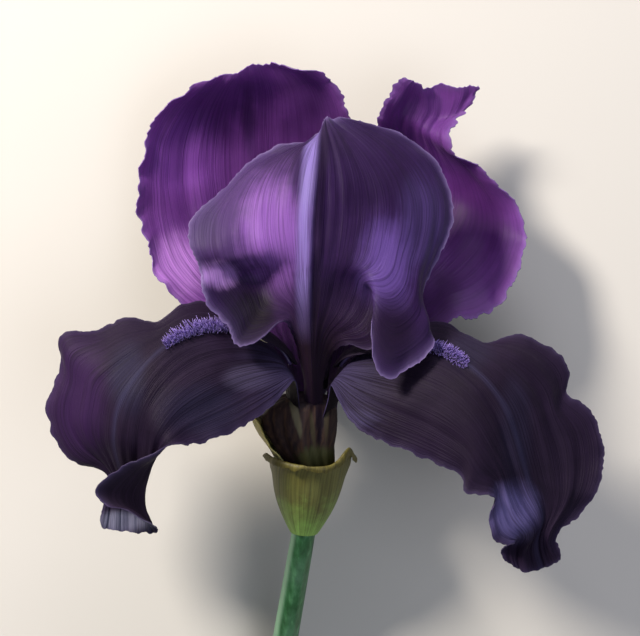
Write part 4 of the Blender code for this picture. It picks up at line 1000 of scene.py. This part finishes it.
# The front standard's outer face: its patches are painted light and shade, the lit left wing with a
# painted highlight, a lit fold at its lower left, sheen on its right half, and painted shadow in the
# recess beside the claw and under the flap. The pale band on the left of the midrib is partly its own
# lavender and partly painted light; the dark band right of it is painted shadow.
outer_face = petal_skin("Silky violet outer face", "#241236", "#170a24", "#1d1219", "#4a3a68",
                        claw_end=(0.16, 0.40), streaks=58.0, vein_depth=0.3, claw_veins=0.6, gloss=0.08,
                        sheen=0.03, sheen_tint="#c3a8ea", mottle=0.6, margin_share=0.3,
                        rim_highlight="#7d6d9c", rim_highlight_share=0.6, through=0.08, patches=(
                            ("#432d5a", (-20, 48), (20, 22), 0.9), ("#7f539f", (-11, 42), (11, 17), 0.85),
                            ("#3c3050", (-30, 45), (5, 9), 0.7), ("#6a4684", (-9, 22), (5, 10), 0.5),
                            ("#09050c", (-19, 18), (13, 11), 1.0), ("#a97fc8", (-26.5, 30), (6, 4), 0.85),
                            ("#5c4488", (19, 33), (9, 15), 0.75), ("#4c3c72", (29, 44), (8, 16), 0.45),
                            ("#180c1e", (19, 14), (8, 12), 0.8)), bands=(
                            ("#7565a2", -3.6, 0.2, 1.3, 0.9), ("#1a0e24", 0.9, 3.4, 0.6, 0.7)))
STANDARD_EDGE = {"waves": ((20, 1.4, 9), (9, 0.9, 5), (4, 0.4, 2.5)), "nicks": (0.7, 2.6, 1.4),
                 "swells": ((18, 1.0), (8, 0.6))}
for side, rows, pleat, seed in (("left", LEFT_STANDARD, 0.9, 21), ("right", RIGHT_STANDARD, 1.0, 22)):
    standard = petal(f"{side}_standard", rows, [inner_skin, outer_face], **STANDARD_EDGE,
                     pleats=(7, pleat), seed=seed)
    settle(standard, f"{side}_standard_petal", "standard", f"{side}_standard")
front_standard = petal("front_standard", FRONT_STANDARD, [outer_face, inner_skin], rib=4 / 9, crease=0.7,
                       waves=((14, 0.7, 5), (5, 0.4, 3)), nicks=(0.35, 2.6, 1.4),
                       swells=((16, 0.5), (7, 0.3)), pleats=(14, 0.9), seed=23)
settle(front_standard, "front_standard_petal", "standard", "front_standard")

# Table. A plain, pale, matt surface that the flower lies on.
FLOOR_SIZE = 6.0
deselect()
bpy.ops.mesh.primitive_plane_add(size=FLOOR_SIZE, location=(0, 0, 0))
table = bpy.context.object
table.name = "pale_table"
table_skin, tree, shader = new_skin("Matt pale table", Roughness=0.9, Specular_IOR_Level=0.2)
shader.inputs["Base Color"].default_value = linear("#c6c3bc")
table.data.materials.append(table_skin)
deselect()

# Lights. A soft key beyond the flower's upper left brings up the midrib, and two wide, weaker lamps and
# a pale room fill the rest.
LAMPS = (
    ("key_lamp", (-0.50, 0.52, 0.56), 0.22, 14.0, "#fff6ec"),
    ("fill_lamp", (0.35, -0.25, 0.95), 0.8, 3.5, "#e9efff"),
    ("back_lamp", (0.1, 0.75, 0.45), 0.5, 3.0, "#f4f0ff"),
)
for name, spot, size, watts, colour in LAMPS:
    lamp = bpy.data.lights.new(name, "AREA")
    lamp.shape = "DISK"
    lamp.size = size
    lamp.energy = watts
    lamp.color = linear(colour)[:3]
    holder = bpy.data.objects.new(name, lamp)
    holder.location = spot
    holder.rotation_euler = (heart - Vector(spot)).to_track_quat("-Z", "Y").to_euler()
    bpy.context.scene.collection.objects.link(holder)

sky = bpy.data.worlds.new("pale_room")
sky.use_nodes = True
sky.node_tree.nodes["Background"].inputs["Color"].default_value = linear("#dfe4ee")
sky.node_tree.nodes["Background"].inputs["Strength"].default_value = 0.22
bpy.context.scene.world = sky
bpy.context.scene.view_settings.view_transform = "Standard"

# Camera. A long lens straight above the flower, with the cut end of the stem just out of its view.
LENS = 200.0
SENSOR = 36.0
AIM = (1.1, 18.4, 0.0)
DISTANCE = 978.0
eye = bpy.data.objects.new("camera", bpy.data.cameras.new("camera"))
eye.data.lens = LENS
eye.data.sensor_width = SENSOR
eye.location = at(AIM) + Vector((0, 0, DISTANCE)) * MM
bpy.context.scene.collection.objects.link(eye)
bpy.context.scene.camera = eye

bpy.context.view_layer.update()
